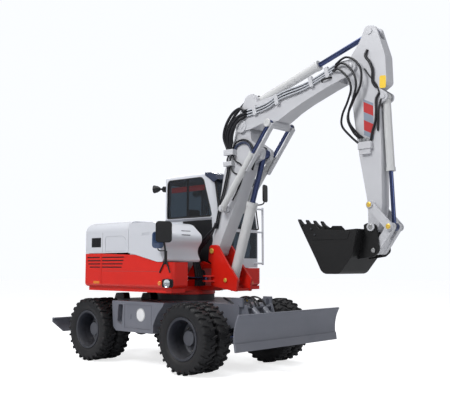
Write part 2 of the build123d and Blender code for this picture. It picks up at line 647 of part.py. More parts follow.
lamp_y = -BODY_HALF + CORNER_ROUND + CORNER_ROUND * sin(lamp_angle)


def lamp_line(out):
    """A point on the right headlamp's middle line, at a distance outside the panel."""
    return (lamp_x + out * cos(lamp_angle), lamp_y + out * sin(lamp_angle), LAMP_Z)


skirt_right -= bar(lamp_line(-60), lamp_line(30), LAMP_RADIUS + LAMP_GAP)
parts["skirt_right"] = skirt_right
left_top = CAB_FLOOR - SEAM
left_face = outline([(panel_rear, 560), (BODY_FRONT_LEFT, 560), (BODY_FRONT_LEFT, BODY_HALF, CORNER_ROUND),
                     (panel_rear, BODY_HALF)])
left_cut = block((panel_rear - 5, 405), (555, BODY_HALF - BODY_ROUND), (DECK_TOP - 5, SKIRT_TOP))
left_cut += block((panel_rear - 5, panel_rear + PANEL + 2), (555, BODY_HALF - PANEL),
                  (DECK_TOP + PANEL, SKIRT_TOP))
skirt_left = lower_panel(left_face, left_top, left_cut)
skirt_left -= bar((BODY_FRONT_LEFT - 60, 696, LAMP_Z), (BODY_FRONT_LEFT + 5, 696, LAMP_Z),
                  LAMP_RADIUS + LAMP_GAP)
parts["skirt_left"] = skirt_left

# Headlamps in the front corners, each a round body with a domed lens, and two work lamps on the cab

lamps = Part()
lamps += bar(lamp_line(-50), lamp_line(10), LAMP_RADIUS) - bar(lamp_line(4), lamp_line(12), LAMP_RADIUS - 8)
left_lamp = bar((BODY_FRONT_LEFT - 50, 696, LAMP_Z), (BODY_FRONT_LEFT + 10, 696, LAMP_Z), LAMP_RADIUS)
lamps += left_lamp - bar((BODY_FRONT_LEFT + 4, 696, LAMP_Z), (BODY_FRONT_LEFT + 12, 696, LAMP_Z),
                         LAMP_RADIUS - 8)
work_lamp_z = CAB_ROOF - 190
for x, y in ((CAB_REAR, CAB_RIGHT + 70), (CAB_REAR, CAB_LEFT - 70)):
    lamps += block((x - 40, x), (y - 12, y + 12), (work_lamp_z - 15, work_lamp_z + 15))
    lamps += bar((x - 95, y, work_lamp_z + 10), (x - 25, y, work_lamp_z), 52)
parts["lamps"] = lamps

hood_face = rear_half & plan(-TAIL_RADIUS, HOOD_FRONT, -BODY_HALF, BODY_HALF)
hood = along_z(hood_face, SKIRT_TOP + SEAM, HOOD_TOP)
top_edges = hood.edges().group_by(Axis.Z)[-1].filter_by(lambda e: e.center().X < HOOD_FRONT - 10)
hood = fillet(top_edges, HOOD_ROUND)
cab_bay = block((CAB_REAR - 20, HOOD_FRONT + 5), (CAB_RIGHT - 20, BODY_HALF + 5), (SKIRT_TOP, HOOD_TOP + 5))
hollow_face = tail_plan(HOOD_WALL) & plan(-TAIL_RADIUS, HOOD_FRONT - PANEL, -BODY_HALF, BODY_HALF)
hollow = along_z(hollow_face, SKIRT_TOP, HOOD_TOP - HOOD_WALL)
hollow -= block((CAB_REAR - 20 - PANEL, HOOD_FRONT), (CAB_RIGHT - 20 - PANEL, BODY_HALF),
                (SKIRT_TOP - 5, HOOD_TOP))
hood = hood - cab_bay - hollow
door_outline = outline([(-625, SKIRT_TOP + 30), (-110, SKIRT_TOP + 30), (-110, 1930, 120), (-625, 1930, 40)])
hood -= along_y(door_outline, -BODY_HALF - 5, -BODY_HALF + 8)
hood += along_y(offset(door_outline, -6), -BODY_HALF + 1, -BODY_HALF + 9)
hood += along_z(tail_plan(HOOD_WALL - 15) - tail_plan(HOOD_WALL + 5) & plan(-TAIL_RADIUS, -800, -BODY_HALF,
                                                                            BODY_HALF),
                SKIRT_TOP, SKIRT_TOP + 3 * SEAM)
parts["engine_hood"] = hood

cover_rear = HOOD_FRONT + SEAM
cover_low = SKIRT_FRONT_TOP + SEAM
cover_plan = outline([(cover_rear, -BODY_HALF), (front_right - 18, -BODY_HALF, CORNER_ROUND),
                      (800, COVER_LEFT, 60),
                      (cover_rear, COVER_LEFT)])
cover_top = HOOD_TOP - 40
cover_waist = cover_low + 164
cover_shoulder = cover_top - 220


def cover_solid(inset):
    """The right cover's outer form, or the form of its hollow, drawn in by a distance."""
    low = cover_low - 5 if inset else cover_low
    nose = front_right - 2 * inset
    side = outline([(cover_rear + inset, low), (nose - 138 + inset, low, 30),
                    (nose - 238 + inset, cover_waist, 130),
                    (nose - 73, cover_shoulder, 100), (nose - 338 + inset, cover_top - inset, 230),
                    (cover_rear + inset, cover_top - inset)])
    face = offset(cover_plan, -inset) if inset else cover_plan
    return along_z(face, cover_low - 5, HOOD_TOP) & along_y(side, -BODY_HALF, COVER_LEFT)


cover = cover_solid(0) - cover_solid(2 * PANEL)
cover -= along_y(outline([(cover_rear - 5, cover_low - 5), (600, cover_low - 5), (600, cover_low),
                          (100, SKIRT_TOP - 30 + SEAM),
                          (cover_rear - 5, SKIRT_TOP)]), -BODY_HALF - 10, -300)
cover += block((cover_rear + PANEL, 400), (-BODY_HALF + PANEL, -BODY_HALF + 2 * PANEL),
               (SKIRT_TOP - 70, SKIRT_TOP + 90))
for z in (1925, 1950):
    cover -= block((250, 420), (-BODY_HALF - 5, -BODY_HALF + 6), (z - 5, z + 5))
parts["right_cover"] = cover

engine = block((WEIGHT_WALL - TAIL_RADIUS + 60, WEIGHT_FRONT - 40), (-520, 520), (DECK_TOP, 1900))
parts["engine"] = engine

# Cab: a hollow shell with a window in each face and a doorway on the left


def leaning(z):
    """How far the windscreen is behind the cab's front at a height."""
    return max(0, (z - CAB_KINK) / (CAB_ROOF - CAB_KINK)) * CAB_LEAN


def cab_plan(inset, z):
    """The cab's plan at a height, drawn in by a distance, on its own level."""
    front = CAB_FRONT - leaning(z) - inset
    rear, right, left = CAB_REAR + inset, CAB_RIGHT + inset, CAB_LEFT - inset
    corner, back = CAB_CORNER - inset, CAB_BACK_CORNER - inset
    return Pos(0, 0, z) * outline([(rear, right, back), (front, right, corner), (front, left, corner),
                                   (rear, left, back)])


def cab_form(inset):
    """The cab's whole form, drawn in by a distance: upright to the kink, and leaning back above it."""
    form = extrude(cab_plan(inset, CAB_FLOOR + inset), CAB_KINK - CAB_FLOOR - inset)
    form += loft([cab_plan(inset, CAB_KINK), cab_plan(inset, CAB_ROOF - inset)], ruled=True)
    return fillet(form.edges().group_by(Axis.Z)[-1], ROOF_ROUND - inset)


def swing_clearance(gap, top):
    """The space before the cab's lower corner in which the swing bracket turns."""
    return along_z(Pos(SWING_X, 0) * Circle(SWING_CLEARANCE + gap), CAB_FLOOR - 5, top)


whole_cab = cab_form(0)
roof_seam = CAB_ROOF - ROOF_THICK
above_seam = block((CAB_REAR - 5, CAB_FRONT + 5), (CAB_RIGHT - 5, CAB_LEFT + 5), (roof_seam, CAB_ROOF + 5))
parts["cab_roof"] = whole_cab & above_seam
cab = whole_cab - above_seam - swing_clearance(0, SWING_CLEARANCE_TOP)
cab -= cab_form(CAB_WALL) - swing_clearance(CAB_WALL, SWING_CLEARANCE_TOP + CAB_WALL)
pane_shell = cab_form(12) - cab_form(12 + GLASS)
window_low = CAB_KINK + WINDOW_RISE
window_top = CAB_ROOF - WINDOW_DROP
door_front = CAB_FRONT - CAB_CORNER - 10
pane_height = CAB_ROOF - 70 - window_low
pane_front = []
for share, behind in ((1, 226), (0.546, 177), (0.216, 140), (0, 135)):
    height = window_low + share * pane_height
    pane_front.append((CAB_FRONT - leaning(height) - behind, height))
right_pane = outline([(CAB_REAR + 70, window_low, 30),
                      (CAB_REAR + 80, window_low + pane_height + 5, 0.11 * pane_height),
                      (*pane_front[0], 0.157 * pane_height), *pane_front[1:3], (*pane_front[3], 30)])
right_light = along_y(right_pane, CAB_RIGHT - 5, CAB_RIGHT + CAB_WALL + 5)
cab -= right_light
glass = pane_shell & right_light
back_pane = outline([(CAB_RIGHT + 110, window_low, 30), (CAB_LEFT - 110, window_low, 30),
                     (CAB_LEFT - 110, window_top, 30),
                     (CAB_RIGHT + 110, window_top, 30)])
cab -= along_x(back_pane, CAB_REAR - 5, CAB_REAR + CAB_WALL + 5)
glass += along_x(back_pane, CAB_REAR + 12, CAB_REAR + 12 + GLASS)
left_pane = outline([(CAB_REAR + 80, window_low, 20), (DOOR_REAR - 60, window_low, 20),
                     (DOOR_REAR - 60, window_top, 20),
                     (CAB_REAR + 80, window_top, 20)])
cab -= along_y(left_pane, CAB_LEFT - CAB_WALL - 5, CAB_LEFT + 5)
glass += along_y(left_pane, CAB_LEFT - 12 - GLASS, CAB_LEFT - 12)
post_right = CAB_RIGHT + CAB_WALL + 5
post_left = CAB_LEFT - CAB_WALL - 5
lights = [(CAB_RIGHT + 200, post_left, CAB_FLOOR + 150, CAB_KINK - 30, CAB_FRONT - 100),
          (post_right, post_left, CAB_KINK + 30, window_top, 300)]
for right, left, low, high, start in lights:
    pane = outline([(right, low, 20), (left, low, 20), (left, high, 20), (right, high, 20)])
    light = along_x(pane, start, CAB_FRONT + 5)
    cab -= light
    glass += pane_shell & light
doorway = outline([(DOOR_REAR, CAB_FLOOR + 60, 20), (door_front, CAB_FLOOR + 60, 20), (door_front, CAB_KINK),
                   (door_front - leaning(CAB_ROOF - 90), CAB_ROOF - 90, 40), (DOOR_REAR, CAB_ROOF - 90, 40)])
cab -= along_y(doorway, CAB_LEFT - CAB_WALL - 5, CAB_LEFT + 5)
for y in (CAB_RIGHT + 60, CAB_LEFT - 120):
    cab += block((CAB_REAR + 60, 400), (y, y + 60), (DECK_TOP, CAB_FLOOR))
hinge_y = CAB_LEFT + 14
hinge_x = DOOR_REAR - 4
hinge_heights = (CAB_FLOOR + 350, CAB_ROOF - 350)
for z in hinge_heights:
    cab += block((hinge_x - 30, hinge_x - 4), (CAB_LEFT - 5, hinge_y + 8), (z - 60, z - 34))
    cab += block((hinge_x - 30, hinge_x - 4), (CAB_LEFT - 5, hinge_y + 8), (z + 34, z + 60))
    cab += block((hinge_x - 30, hinge_x + 10), (hinge_y - 10, hinge_y + 8), (z - 60, z - 34))
    cab += block((hinge_x - 30, hinge_x + 10), (hinge_y - 10, hinge_y + 8), (z + 34, z + 60))
    cab += bar((hinge_x, hinge_y, z - 40), (hinge_x, hinge_y, z + 40), 7)
parts["cab_shell"] = cab
parts["cab_glass"] = glass

# Cab door, hinged at its rear edge

door_face = offset(doorway, -DOOR_GAP)
door = along_y(door_face, CAB_LEFT - 34, CAB_LEFT - 2)
upper_light = outline([(DOOR_REAR + 70, CAB_KINK + 30, 25), (door_front - 60, CAB_KINK + 30, 25),
                       (door_front - 75 - leaning(window_top - 30), window_top - 30, 25),
                       (DOOR_REAR + 70, window_top - 30, 25)])
lower_light = outline([(DOOR_REAR + 70, CAB_FLOOR + 170, 25), (door_front - 70, CAB_FLOOR + 170, 25),
                       (door_front - 70, CAB_KINK - 30, 25), (DOOR_REAR + 70, CAB_KINK - 30, 25)])
door_glass = Part()
for light in (upper_light, lower_light):
    door -= along_y(light, CAB_LEFT - 40, CAB_LEFT + 5)
    door_glass += along_y(light, CAB_LEFT - 20, CAB_LEFT - 20 + GLASS)
for z in hinge_heights:
    door += block((hinge_x, DOOR_REAR + 50), (CAB_LEFT + 5, hinge_y + 6), (z - 26, z + 26))
    door += block((DOOR_REAR + 12, DOOR_REAR + 50), (CAB_LEFT - 5, hinge_y + 6), (z - 26, z + 26))
    door += bar((hinge_x, hinge_y, z - 26), (hinge_x, hinge_y, z + 26), 13)
    door -= bar((hinge_x, hinge_y, z - 30), (hinge_x, hinge_y, z + 30), 7 + PIN_FIT)
door += block((door_front - 60, door_front - 20), (CAB_LEFT - 3, CAB_LEFT + 14),
              (CAB_KINK - 60, CAB_KINK + 20))
parts["cab_door"] = door
parts["door_glass"] = door_glass

# Seat, consoles and steering column

cab_mid = (CAB_RIGHT + CAB_LEFT) / 2
floor = CAB_FLOOR + CAB_WALL
seat = block((-420, -40), (cab_mid - 170, cab_mid + 170), (floor, floor + 260))
seat += block((-460, 60), (cab_mid - 240, cab_mid + 240), (floor + 260, floor + 380))
seat += block((-520, -400), (cab_mid - 230, cab_mid + 230), (floor + 300, floor + 0.644 * (CAB_ROOF - floor)))
parts["seat"] = seat
console = Part()
for side in (-1, 1):
    low, high = sorted((cab_mid + side * 255, cab_mid + side * 370))
    console += block((-420, 120), (low, high), (floor, floor + 520))
    console += bar((60, (low + high) / 2, floor + 515), (70, (low + high) / 2, floor + 720), 16)
parts["consoles"] = console
column = block((430, 510), (cab_mid - 50, cab_mid + 50), (floor, floor + 30))
column += bar((465, cab_mid, floor + 20), (322, cab_mid, floor + 657), 35)
column += Location((320, cab_mid, floor + 660), (0, -14, 0)) * Torus(180, 14)
column += Location((320, cab_mid, floor + 660), (0, -14, 0)) * Box(350, 40, 14)
parts["steering_column"] = column

# Swing bracket, which carries the boom foot and the lift cylinder and turns on the swing pin

bracket_side = outline([(725, 1185, 20), (1240, 1104, 20), (1255, 1285, 30), (1060, 1510, 60),
                        (965, 1640, 40),
                        (850, 1792, 60), (690, 1792, 60), (672, 1560, 20), (735, 1520, 20)])
bracket = pair_y(bracket_side, BRACKET_EAR_Y)
bracket += block((745, 860), (-BRACKET_EAR_Y[0] - 5, BRACKET_EAR_Y[0] + 5), (1195, 1425))
bracket += block((1100, 1230), (-BRACKET_EAR_Y[0] - 5, BRACKET_EAR_Y[0] + 5), (1112, 1150))
bracket += bar((SWING_X, 0, 1190), (SWING_X, 0, 1430), 88)
lever = around([(SWING_X + 60, -120, 60), (SWING_X, -260, 45)])
for low in (1245, 1318):
    bracket += along_z(lever, low, low + 20)
bracket -= bar((SWING_X, 0, 1180), (SWING_X, 0, 1440), 40 + PIN_FIT)
bracket += cross_bar(LIFT_BASE, PIN_RADIUS, -BRACKET_EAR_Y[1] - 12, BRACKET_EAR_Y[1] + 12)
bracket += cross_bar(FOOT, 40, -BRACKET_EAR_Y[1] - 12, BRACKET_EAR_Y[1] + 12)
parts["swing_bracket"] = bracket

swing_base = (-190, -420)
swing_eye = (SWING_X, -260)
swing_z = 1292
swing_run = Vector(swing_eye[0] - swing_base[0], swing_eye[1] - swing_base[1], 0)


def on_swing(distance):
    """A point on the swing cylinder's line, at a distance from its base."""
    step = swing_run.normalized() * distance
    return (swing_base[0] + step.X, swing_base[1] + step.Y, swing_z)


swing_barrel = along_z(Pos(*swing_base) * Circle(45), swing_z - 22, swing_z + 22)
swing_barrel += bar(on_swing(36), on_swing(560), 45)
swing_barrel -= bar(on_swing(58), on_swing(561), 22 + PIN_FIT)
swing_barrel -= along_z(Pos(*swing_base) * Circle(20 + PIN_FIT), swing_z - 50, swing_z + 50)
parts["swing_barrel"] = swing_barrel
deck_post = along_z(Pos(*swing_base) * Circle(20), DECK_TOP, swing_z + 26)
deck_post += along_z(Pos(*swing_base) * Circle(34), DECK_TOP, swing_z - 28)
parts["upper_frame"] = parts["upper_frame"] + deck_post
swing_rod = bar(on_swing(270), on_swing(swing_run.length - 36), 22)
swing_rod += along_z(Pos(*swing_eye) * Circle(40), swing_z - 18, swing_z + 18)
swing_rod -= along_z(Pos(*swing_eye) * Circle(20), swing_z - 50, swing_z + 50)
parts["swing_rod"] = swing_rod

# Lower boom, between the bracket's ears and the knee plates

lower_side = outline([(700, 1660, 50), (800, 1660, 50), (1130, 2300, 200), (1420, 2930, 80), (1700, 3020, 40),
                      (1720, 3150, 50), (1500, 3300, 60), (1465, 3560, 80), (1330, 3665, 90),
                      (1200, 3540, 90),
                      (1150, 3330, 60), (960, 2900, 200), (790, 2060, 120), (678, 1740, 40)])
lower = along_y(lower_side, -BOOM_HALF, BOOM_HALF)
lower -= along_y(around([(*LIFT_EYE, 100), (*towards(LIFT_EYE, LIFT_BASE, 500), 100)]), -56, 56)
lower += cross_bar(FOOT, 72, -BOOM_HALF, BOOM_HALF)
lower += cross_bar(ADJUST_BASE, 62, -ADJUST_Y + 50, ADJUST_Y - 50)
lower += cross_bar(ADJUST_BASE, PIN_RADIUS, -ADJUST_Y - 52, ADJUST_Y + 52)
lower -= cross_bar(FOOT, 40 + PIN_FIT, -BOOM_HALF - 5, BOOM_HALF + 5)
lower -= cross_bar(KNEE, 40 + PIN_FIT, -BOOM_HALF - 5, BOOM_HALF + 5)
lower += both_sides(cross_bar(LIFT_EYE, 45, BOOM_HALF - 5, BOOM_HALF + 14))
parts["lower_boom"] = lower
parts["lift_barrel"], parts["lift_rod"] = cylinder_pair(LIFT_BASE, LIFT_EYE, 75, 40, 1200, 560, 68, 50, (0,))
parts["adjust_barrels"], parts["adjust_rods"] = cylinder_pair(
    ADJUST_BASE, ADJUST_EYE, 48, 27, 970, 440, 50, EYE_HALF, (-ADJUST_Y, ADJUST_Y))

# Upper boom: knee plates, a belly with the cross tube for the adjust cylinders, and a fork at the arm

upper_side = outline([(1250, 3450, 60), (1500, 3462), (1780, 3524), (2010, 3512, 40), (2220, 3620, 150),
                      (2450, 3715),
                      (2850, 3850), (3110, 3925, 40), (3290, 4010, 70), (3265, 4150, 80), (3030, 4150, 100),
                      (2740, 4056), (2550, 3965, 200), (1900, 3880), (1610, 3850, 60), (1560, 3990, 80),
                      (1430, 3960, 90),
                      (1240, 3600, 80)])
upper = along_y(upper_side, -KNEE_PLATE_Y[1], KNEE_PLATE_Y[1])
upper -= both_sides(along_z(outline([(1700, 163), (2300, FORK_Y[1]), (3500, FORK_Y[1]), (3500, 300),
                                     (1700, 300)]), 3300, 4300))
upper -= cross_bar(KNEE, 205, -KNEE_PLATE_Y[0], KNEE_PLATE_Y[0])
upper -= along_y(around([(*ARM_BASE, 105), (*towards(ARM_BASE, ARM_EYE, 800), 105)]), -ARM_SLOT, ARM_SLOT)
upper -= cross_bar(ARM_PIN, FORK_REACH, -FORK_Y[0], FORK_Y[0])
upper += cross_bar(KNEE, 40, -KNEE_PLATE_Y[1] - 10, KNEE_PLATE_Y[1] + 10)
upper += both_sides(cross_bar(KNEE, 100, KNEE_PLATE_Y[0], KNEE_PLATE_Y[1] + 10))
upper += both_sides(cross_bar(ARM_BASE, 105, ARM_SLOT, 150))
upper += cross_bar(ARM_BASE, PIN_RADIUS, -150, 150)
upper += cross_bar(ADJUST_EYE, 60, -ADJUST_Y + 46, ADJUST_Y - 46)
upper += cross_bar(ARM_PIN, 40, -FORK_Y[1] - 12, FORK_Y[1] + 12)
parts["upper_boom"] = upper
parts["arm_barrel"], parts["arm_rod"] = cylinder_pair(ARM_BASE, ARM_EYE, 62, 34, 1170, 820, 68, 50, (0,))

# Arm: ears for the cylinder on top, a hub in the boom's fork and a narrow tip for the bucket

arm_side = outline([(3330, 4370, 60), (3120, 4110, 60), (3110, 4000, 60), (3176, 3750, 300), (3290, 2870),
                    (3397, 2270, 100),
                    (3400, 1940, 70), (3535, 1900, 60), (3598, 2230, 100), (3605, 2950), (3596, 3440, 60),
                    (3560, 3560, 20),
                    (3560, 3680, 20), (3700, 3760, 60), (3690, 4110, 200), (3565, 4520, 60),
                    (3420, 4560, 60)])
arm = along_y(arm_side, -ARM_HALF, ARM_HALF)
arm -= cross_bar(ARM_EYE, ARM_EYE_SLOT, -56, 56)
arm += pair_y(around([(*BUCKET_BASE, 62), (3500, 3520, 60), (3500, 3700, 60)]), (60, ARM_HALF))
arm += cross_bar(BUCKET_BASE, PIN_RADIUS, -ARM_HALF - 14, ARM_HALF + 14)
arm += cross_bar(BUCKET_PIN, 62, -ARM_TIP_HALF, ARM_TIP_HALF)
arm += cross_bar(ROCKER_PIN, 52, -ARM_TIP_HALF, ARM_TIP_HALF)
arm += cross_bar(BUCKET_PIN, 30, -BUCKET_EAR_Y[1] - 22, BUCKET_EAR_Y[1] + 22)
arm += both_sides(cross_bar(BUCKET_PIN, 52, BUCKET_EAR_Y[1] + 6, BUCKET_EAR_Y[1] + 22))
arm += cross_bar(ROCKER_PIN, 28, -ROCKER_Y[1] - 18, ROCKER_Y[1] + 18)
arm += both_sides(cross_bar(ROCKER_PIN, 42, ROCKER_Y[1] + 6, ROCKER_Y[1] + 18))
arm += both_sides(cross_bar(ARM_EYE, 44, ARM_HALF - 5, ARM_HALF + 14))
arm -= cross_bar(ARM_PIN, 40 + PIN_FIT, -ARM_HALF - 5, ARM_HALF + 5)
parts["arm"] = arm
parts["bucket_barrel"], parts["bucket_rod"] = cylinder_pair(BUCKET_BASE, LINK_TOP, 52, 27, 945, 660, 52,
                                                            EYE_HALF, (0,))

# Bucket linkage: the rocker on the arm, and the link from it to the bucket

rocker = pair_y(around([(*ROCKER_PIN, 52), (*LINK_TOP, 52)]), ROCKER_Y)
rocker += both_sides(cross_bar(LINK_TOP, 40, ROCKER_Y[1] - 2, ROCKER_Y[1] + 14))
rocker -= cross_bar(ROCKER_PIN, 28 + PIN_FIT, -ROCKER_Y[1] - 5, ROCKER_Y[1] + 5)
parts["rocker"] = rocker
web_top = towards(LINK_LOW, LINK_TOP, 160)
link = pair_y(around([(*LINK_TOP, 50), (*LINK_LOW, 52)]), (EYE_HALF + 7, ARM_TIP_HALF))
link += along_y(around([(*web_top, 40), (*LINK_LOW, 50)]), -EYE_HALF - 10, EYE_HALF + 10)
link -= cross_bar(LINK_LOW, 30 + PIN_FIT, -200, 200)
parts["bucket_link"] = link

# Bucket: a bent shell between two cheeks, ears for the arm and link, and teeth on its lip

shell_points = [(2500, 2018), (2755, 1560), (2850, 1376, 120), (3110, 1376, 120), (3290, 1590, 90),
                (3375, 1935)]
inner_points = [(2525, 2018), (2772, 1575), (2862, 1392, 108), (3100, 1392, 108), (3272, 1598, 80),
                (3355, 1935)]
cheek_face = outline([(2600, 2028), (2740, 2022), (2810, 1950), (3160, 1925), *shell_points[:0:-1],
                      (2530, 1972)])
trough = along_y(outline(shell_points + inner_points[::-1]), -BUCKET_HALF, BUCKET_HALF)
cheeks = pair_y(cheek_face, (BUCKET_HALF - BUCKET_WALL, BUCKET_HALF))
bucket = trough + cheeks
ear_face = outline([(3250, 1940, 20), (3420, 2010, 60), (3540, 1990, 60), (3575, 1650, 60), (3500, 1592, 60),
                    (3250, 1560, 30)])
ears = pair_y(ear_face, BUCKET_EAR_Y)
ear_limit = [(2500, 2100), (2535, 2018), (2772, 1575), (2862, 1392), (3100, 1392), (3290, 1598), (3368, 1935),
             (3368, 2100)]
ears -= along_y(outline(ear_limit), -200, 200)
bucket += ears
bucket += cross_bar(LINK_LOW, 30, -BUCKET_EAR_Y[1] - 12, BUCKET_EAR_Y[1] + 12)
bucket -= cross_bar(BUCKET_PIN, 30 + PIN_FIT, -200, 200)
for y in (-257, -86, 86, 257):
    tooth = along_y(outline([(2460, 2095), (2452, 2080), (2500, 1985), (2600, 1835), (2640, 1850),
                             (2575, 2000), (2510, 2040)]),
                    y - 32, y + 32)
    bucket += tooth
parts["bucket"] = bucket

# Mirrors: a large and a small one on legs at the right front, and one on an arm at the cab's left corner

mirror_out = BODY_HALF + 14
left_mirror = (650, CAB_LEFT + 80, CAB_ROOF - 280)
mirrors = Location(left_mirror, (0, 0, 20)) * Box(28, 200, 290)
mirrors += Location((810, -BODY_HALF - 70, 1955), (0, 0, -20)) * Box(28, 200, 290)
mirrors += Location((720, -BODY_HALF - 85, 1835), (0, 0, -20)) * Box(24, 150, 210)
mirrors += bar((728, -BODY_HALF - 70, 1760), (765, -mirror_out, 1650), 11)
mirrors += bar((810, -BODY_HALF - 60, 1830), (760, -mirror_out, 1640), 14)
mirrors += bar((760, -mirror_out, 1660), (700, -mirror_out, 1390), 14)
mirrors += bar((760, -mirror_out, 1660), (860, -mirror_out, 1400), 14)
mirror_foot_z = CAB_ROOF - 470
foot_angle = radians(70)
foot_x = CAB_FRONT - leaning(mirror_foot_z) - CAB_CORNER
foot_y = CAB_LEFT - CAB_CORNER


def mirror_foot(out):
    """A point on the left mirror's foot, at a distance outside the cab's rounded corner."""
    reach = CAB_CORNER + out
    return (foot_x + reach * cos(foot_angle), foot_y + reach * sin(foot_angle), mirror_foot_z)


mirrors += bar(mirror_foot(1.5), mirror_foot(45), 14)
mirrors += bar((left_mirror[0] - 10, left_mirror[1], left_mirror[2] - 130), mirror_foot(38), 12)
parts["mirrors"] = mirrors

# Handrail before the cab's left corner

rail = Part()
rail_x, rail_y, rail_foot_y = CAB_FRONT + 60, CAB_LEFT - 25, CAB_LEFT - CAB_CORNER - 30
rail_top = CAB_ROOF - 530
rail += bar((rail_x, rail_y, CAB_FLOOR + 45), (rail_x, rail_y, rail_top), 17)
for z in (CAB_FLOOR + 70, (CAB_FLOOR + rail_top) / 2 + 85, rail_top - 30):
    rail += bar((rail_x, rail_foot_y - 22, z), (rail_x, rail_y, z), 15)
    rail += bar((CAB_FRONT - leaning(z - 12) + 0.3, rail_foot_y, z), (rail_x, rail_foot_y, z), 12)
parts["handrail"] = rail

# The origin goes to the ground under the middle of the whole machine's box

boxes = [shape.bounding_box() for shape in parts.values()]
middle_x = (min(box.min.X for box in boxes) + max(box.max.X for box in boxes)) / 2
middle_y = (min(box.min.Y for box in boxes) + max(box.max.Y for box in boxes)) / 2
lowest = min(box.min.Z for box in boxes)
SHIFT = (-middle_x, -middle_y, -lowest)

os.makedirs("parts", exist_ok=True)
for name, shape in parts.items():
    export_step(Pos(*SHIFT) * shape, f"parts/{name}.step")
print(len(parts), "parts, moved by", SHIFT)
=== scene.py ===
import json
from math import cos, pi, radians, sin

import bmesh
import bpy
from mathutils import Matrix, Vector


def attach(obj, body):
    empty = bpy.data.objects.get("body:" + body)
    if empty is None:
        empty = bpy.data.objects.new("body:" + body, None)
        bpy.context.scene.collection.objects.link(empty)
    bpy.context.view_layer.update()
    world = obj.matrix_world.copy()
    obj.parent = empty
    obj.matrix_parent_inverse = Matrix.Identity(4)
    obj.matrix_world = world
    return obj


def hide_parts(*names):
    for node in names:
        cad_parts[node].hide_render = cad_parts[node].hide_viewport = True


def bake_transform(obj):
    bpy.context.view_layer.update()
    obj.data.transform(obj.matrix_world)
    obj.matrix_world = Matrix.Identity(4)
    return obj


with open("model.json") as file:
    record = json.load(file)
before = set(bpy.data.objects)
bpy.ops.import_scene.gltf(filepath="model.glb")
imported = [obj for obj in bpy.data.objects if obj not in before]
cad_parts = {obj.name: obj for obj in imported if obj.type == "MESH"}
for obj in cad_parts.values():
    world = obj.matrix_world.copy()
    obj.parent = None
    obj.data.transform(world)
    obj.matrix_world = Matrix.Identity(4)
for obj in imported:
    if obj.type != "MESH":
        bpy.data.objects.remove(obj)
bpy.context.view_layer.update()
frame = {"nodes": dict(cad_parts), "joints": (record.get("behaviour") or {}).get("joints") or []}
nodes = frame["nodes"]
places = {joint["name"]: Vector(joint["pos_m"]) for joint in frame["joints"] if "pos_m" in joint}

# Viewpoint: a camera low in front of the machine's right corner. All places in this file are in metres
# from the slewing axis, with x to the front and y to the left, and heights are from the ground.
slew_x = places["slew"].x


def at(x, y, z):
    """A place given from the slewing axis and the ground."""
    return Vector((slew_x + x, y, z))


def add_object(name, data):
    """A new object in the scene."""
    added = bpy.data.objects.new(name, data)
    bpy.context.scene.collection.objects.link(added)
    return added


camera_data = bpy.data.cameras.new("camera")
camera_data.lens = 53.56
camera_data.sensor_width = 36
camera_data.clip_end = 200
camera = add_object("camera", camera_data)
camera.location = at(7.822, -7.419, 1.474)
sight_line = Vector((-0.681, 0.725, 0.0984))
camera.rotation_euler = sight_line.to_track_quat("-Z", "Y").to_euler()
bpy.context.scene.camera = camera
bpy.context.scene.view_settings.view_transform = "Standard"

# Studio: a broad key high on the camera's left, a soft fill on its right, a lamp behind for the edges and
# one overhead. The sky and the pale floor look brighter to the camera than the light they give.
studio_lamps = [
    ("key", at(1.0, -9.5, 9.5), at(0.5, 0, 1.4), 4.0, 860),
    ("fill", at(11.5, -1.0, 5.0), at(0.5, 0, 1.2), 5.0, 150),
    ("edge", at(-7.5, 6.5, 6.5), at(0.0, 0, 1.6), 4.0, 300),
    ("top", at(0.6, -0.5, 10.5), at(0.6, 0, 0), 6.0, 420),
]
for name, place, target, size, power in studio_lamps:
    lamp_data = bpy.data.lights.new("light_" + name, "AREA")
    lamp_data.shape = "DISK"
    lamp_data.size = size
    lamp_data.energy = power
    lamp = add_object("light_" + name, lamp_data)
    lamp.location = place
    lamp.rotation_euler = (target - place).to_track_quat("-Z", "Y").to_euler()


def feed(node, sockets):
    """Set a node's inputs, by name or number, each to a value or to another node's output."""
    for socket, value in sockets.items():
        if isinstance(value, bpy.types.NodeSocket):
            node.id_data.links.new(value, node.inputs[socket])
        else:
            node.inputs[socket].default_value = value


def add_node(tree, kind, sockets, **settings):
    """A new shader node, set up and fed."""
    node = tree.nodes.new("ShaderNode" + kind)
    for setting, value in settings.items():
        setattr(node, setting, value)
    feed(node, sockets)
    return node


def new_material(name):
    """A new material and its shader."""
    material = bpy.data.materials.new(name)
    material.use_nodes = True
    return material, material.node_tree.nodes["Principled BSDF"]


sky_light, sky_seen = 0.42, 0.62
world = bpy.data.worlds.new("studio")
world.use_nodes = True
sky_ray = add_node(world.node_tree, "LightPath", {}).outputs["Is Camera Ray"]
sky_strength = add_node(world.node_tree, "Math", {0: sky_ray, 1: sky_seen, 2: sky_light},
                        operation="MULTIPLY_ADD").outputs[0]
feed(world.node_tree.nodes["Background"], {"Color": (0.93, 0.95, 1.0, 1), "Strength": sky_strength})
bpy.context.scene.world = world

floor_reach, floor_glow = 60, 0.72
floor_mesh = bpy.data.meshes.new("floor")
floor_corners = [(u * floor_reach, v * floor_reach, 0) for u, v in ((-1, -1), (1, -1), (1, 1), (-1, 1))]
floor_mesh.from_pydata(floor_corners, [], [(0, 1, 2, 3)])
floor = add_object("floor", floor_mesh)
floor_material, floor_shader = new_material("studio_floor")
floor_ray = add_node(floor_material.node_tree, "LightPath", {}).outputs["Is Camera Ray"]
feed(floor_shader, {"Base Color": (0.62, 0.625, 0.635, 1), "Roughness": 0.75,
                    "Emission Color": floor_ray, "Emission Strength": floor_glow})
floor_mesh.materials.append(floor_material)


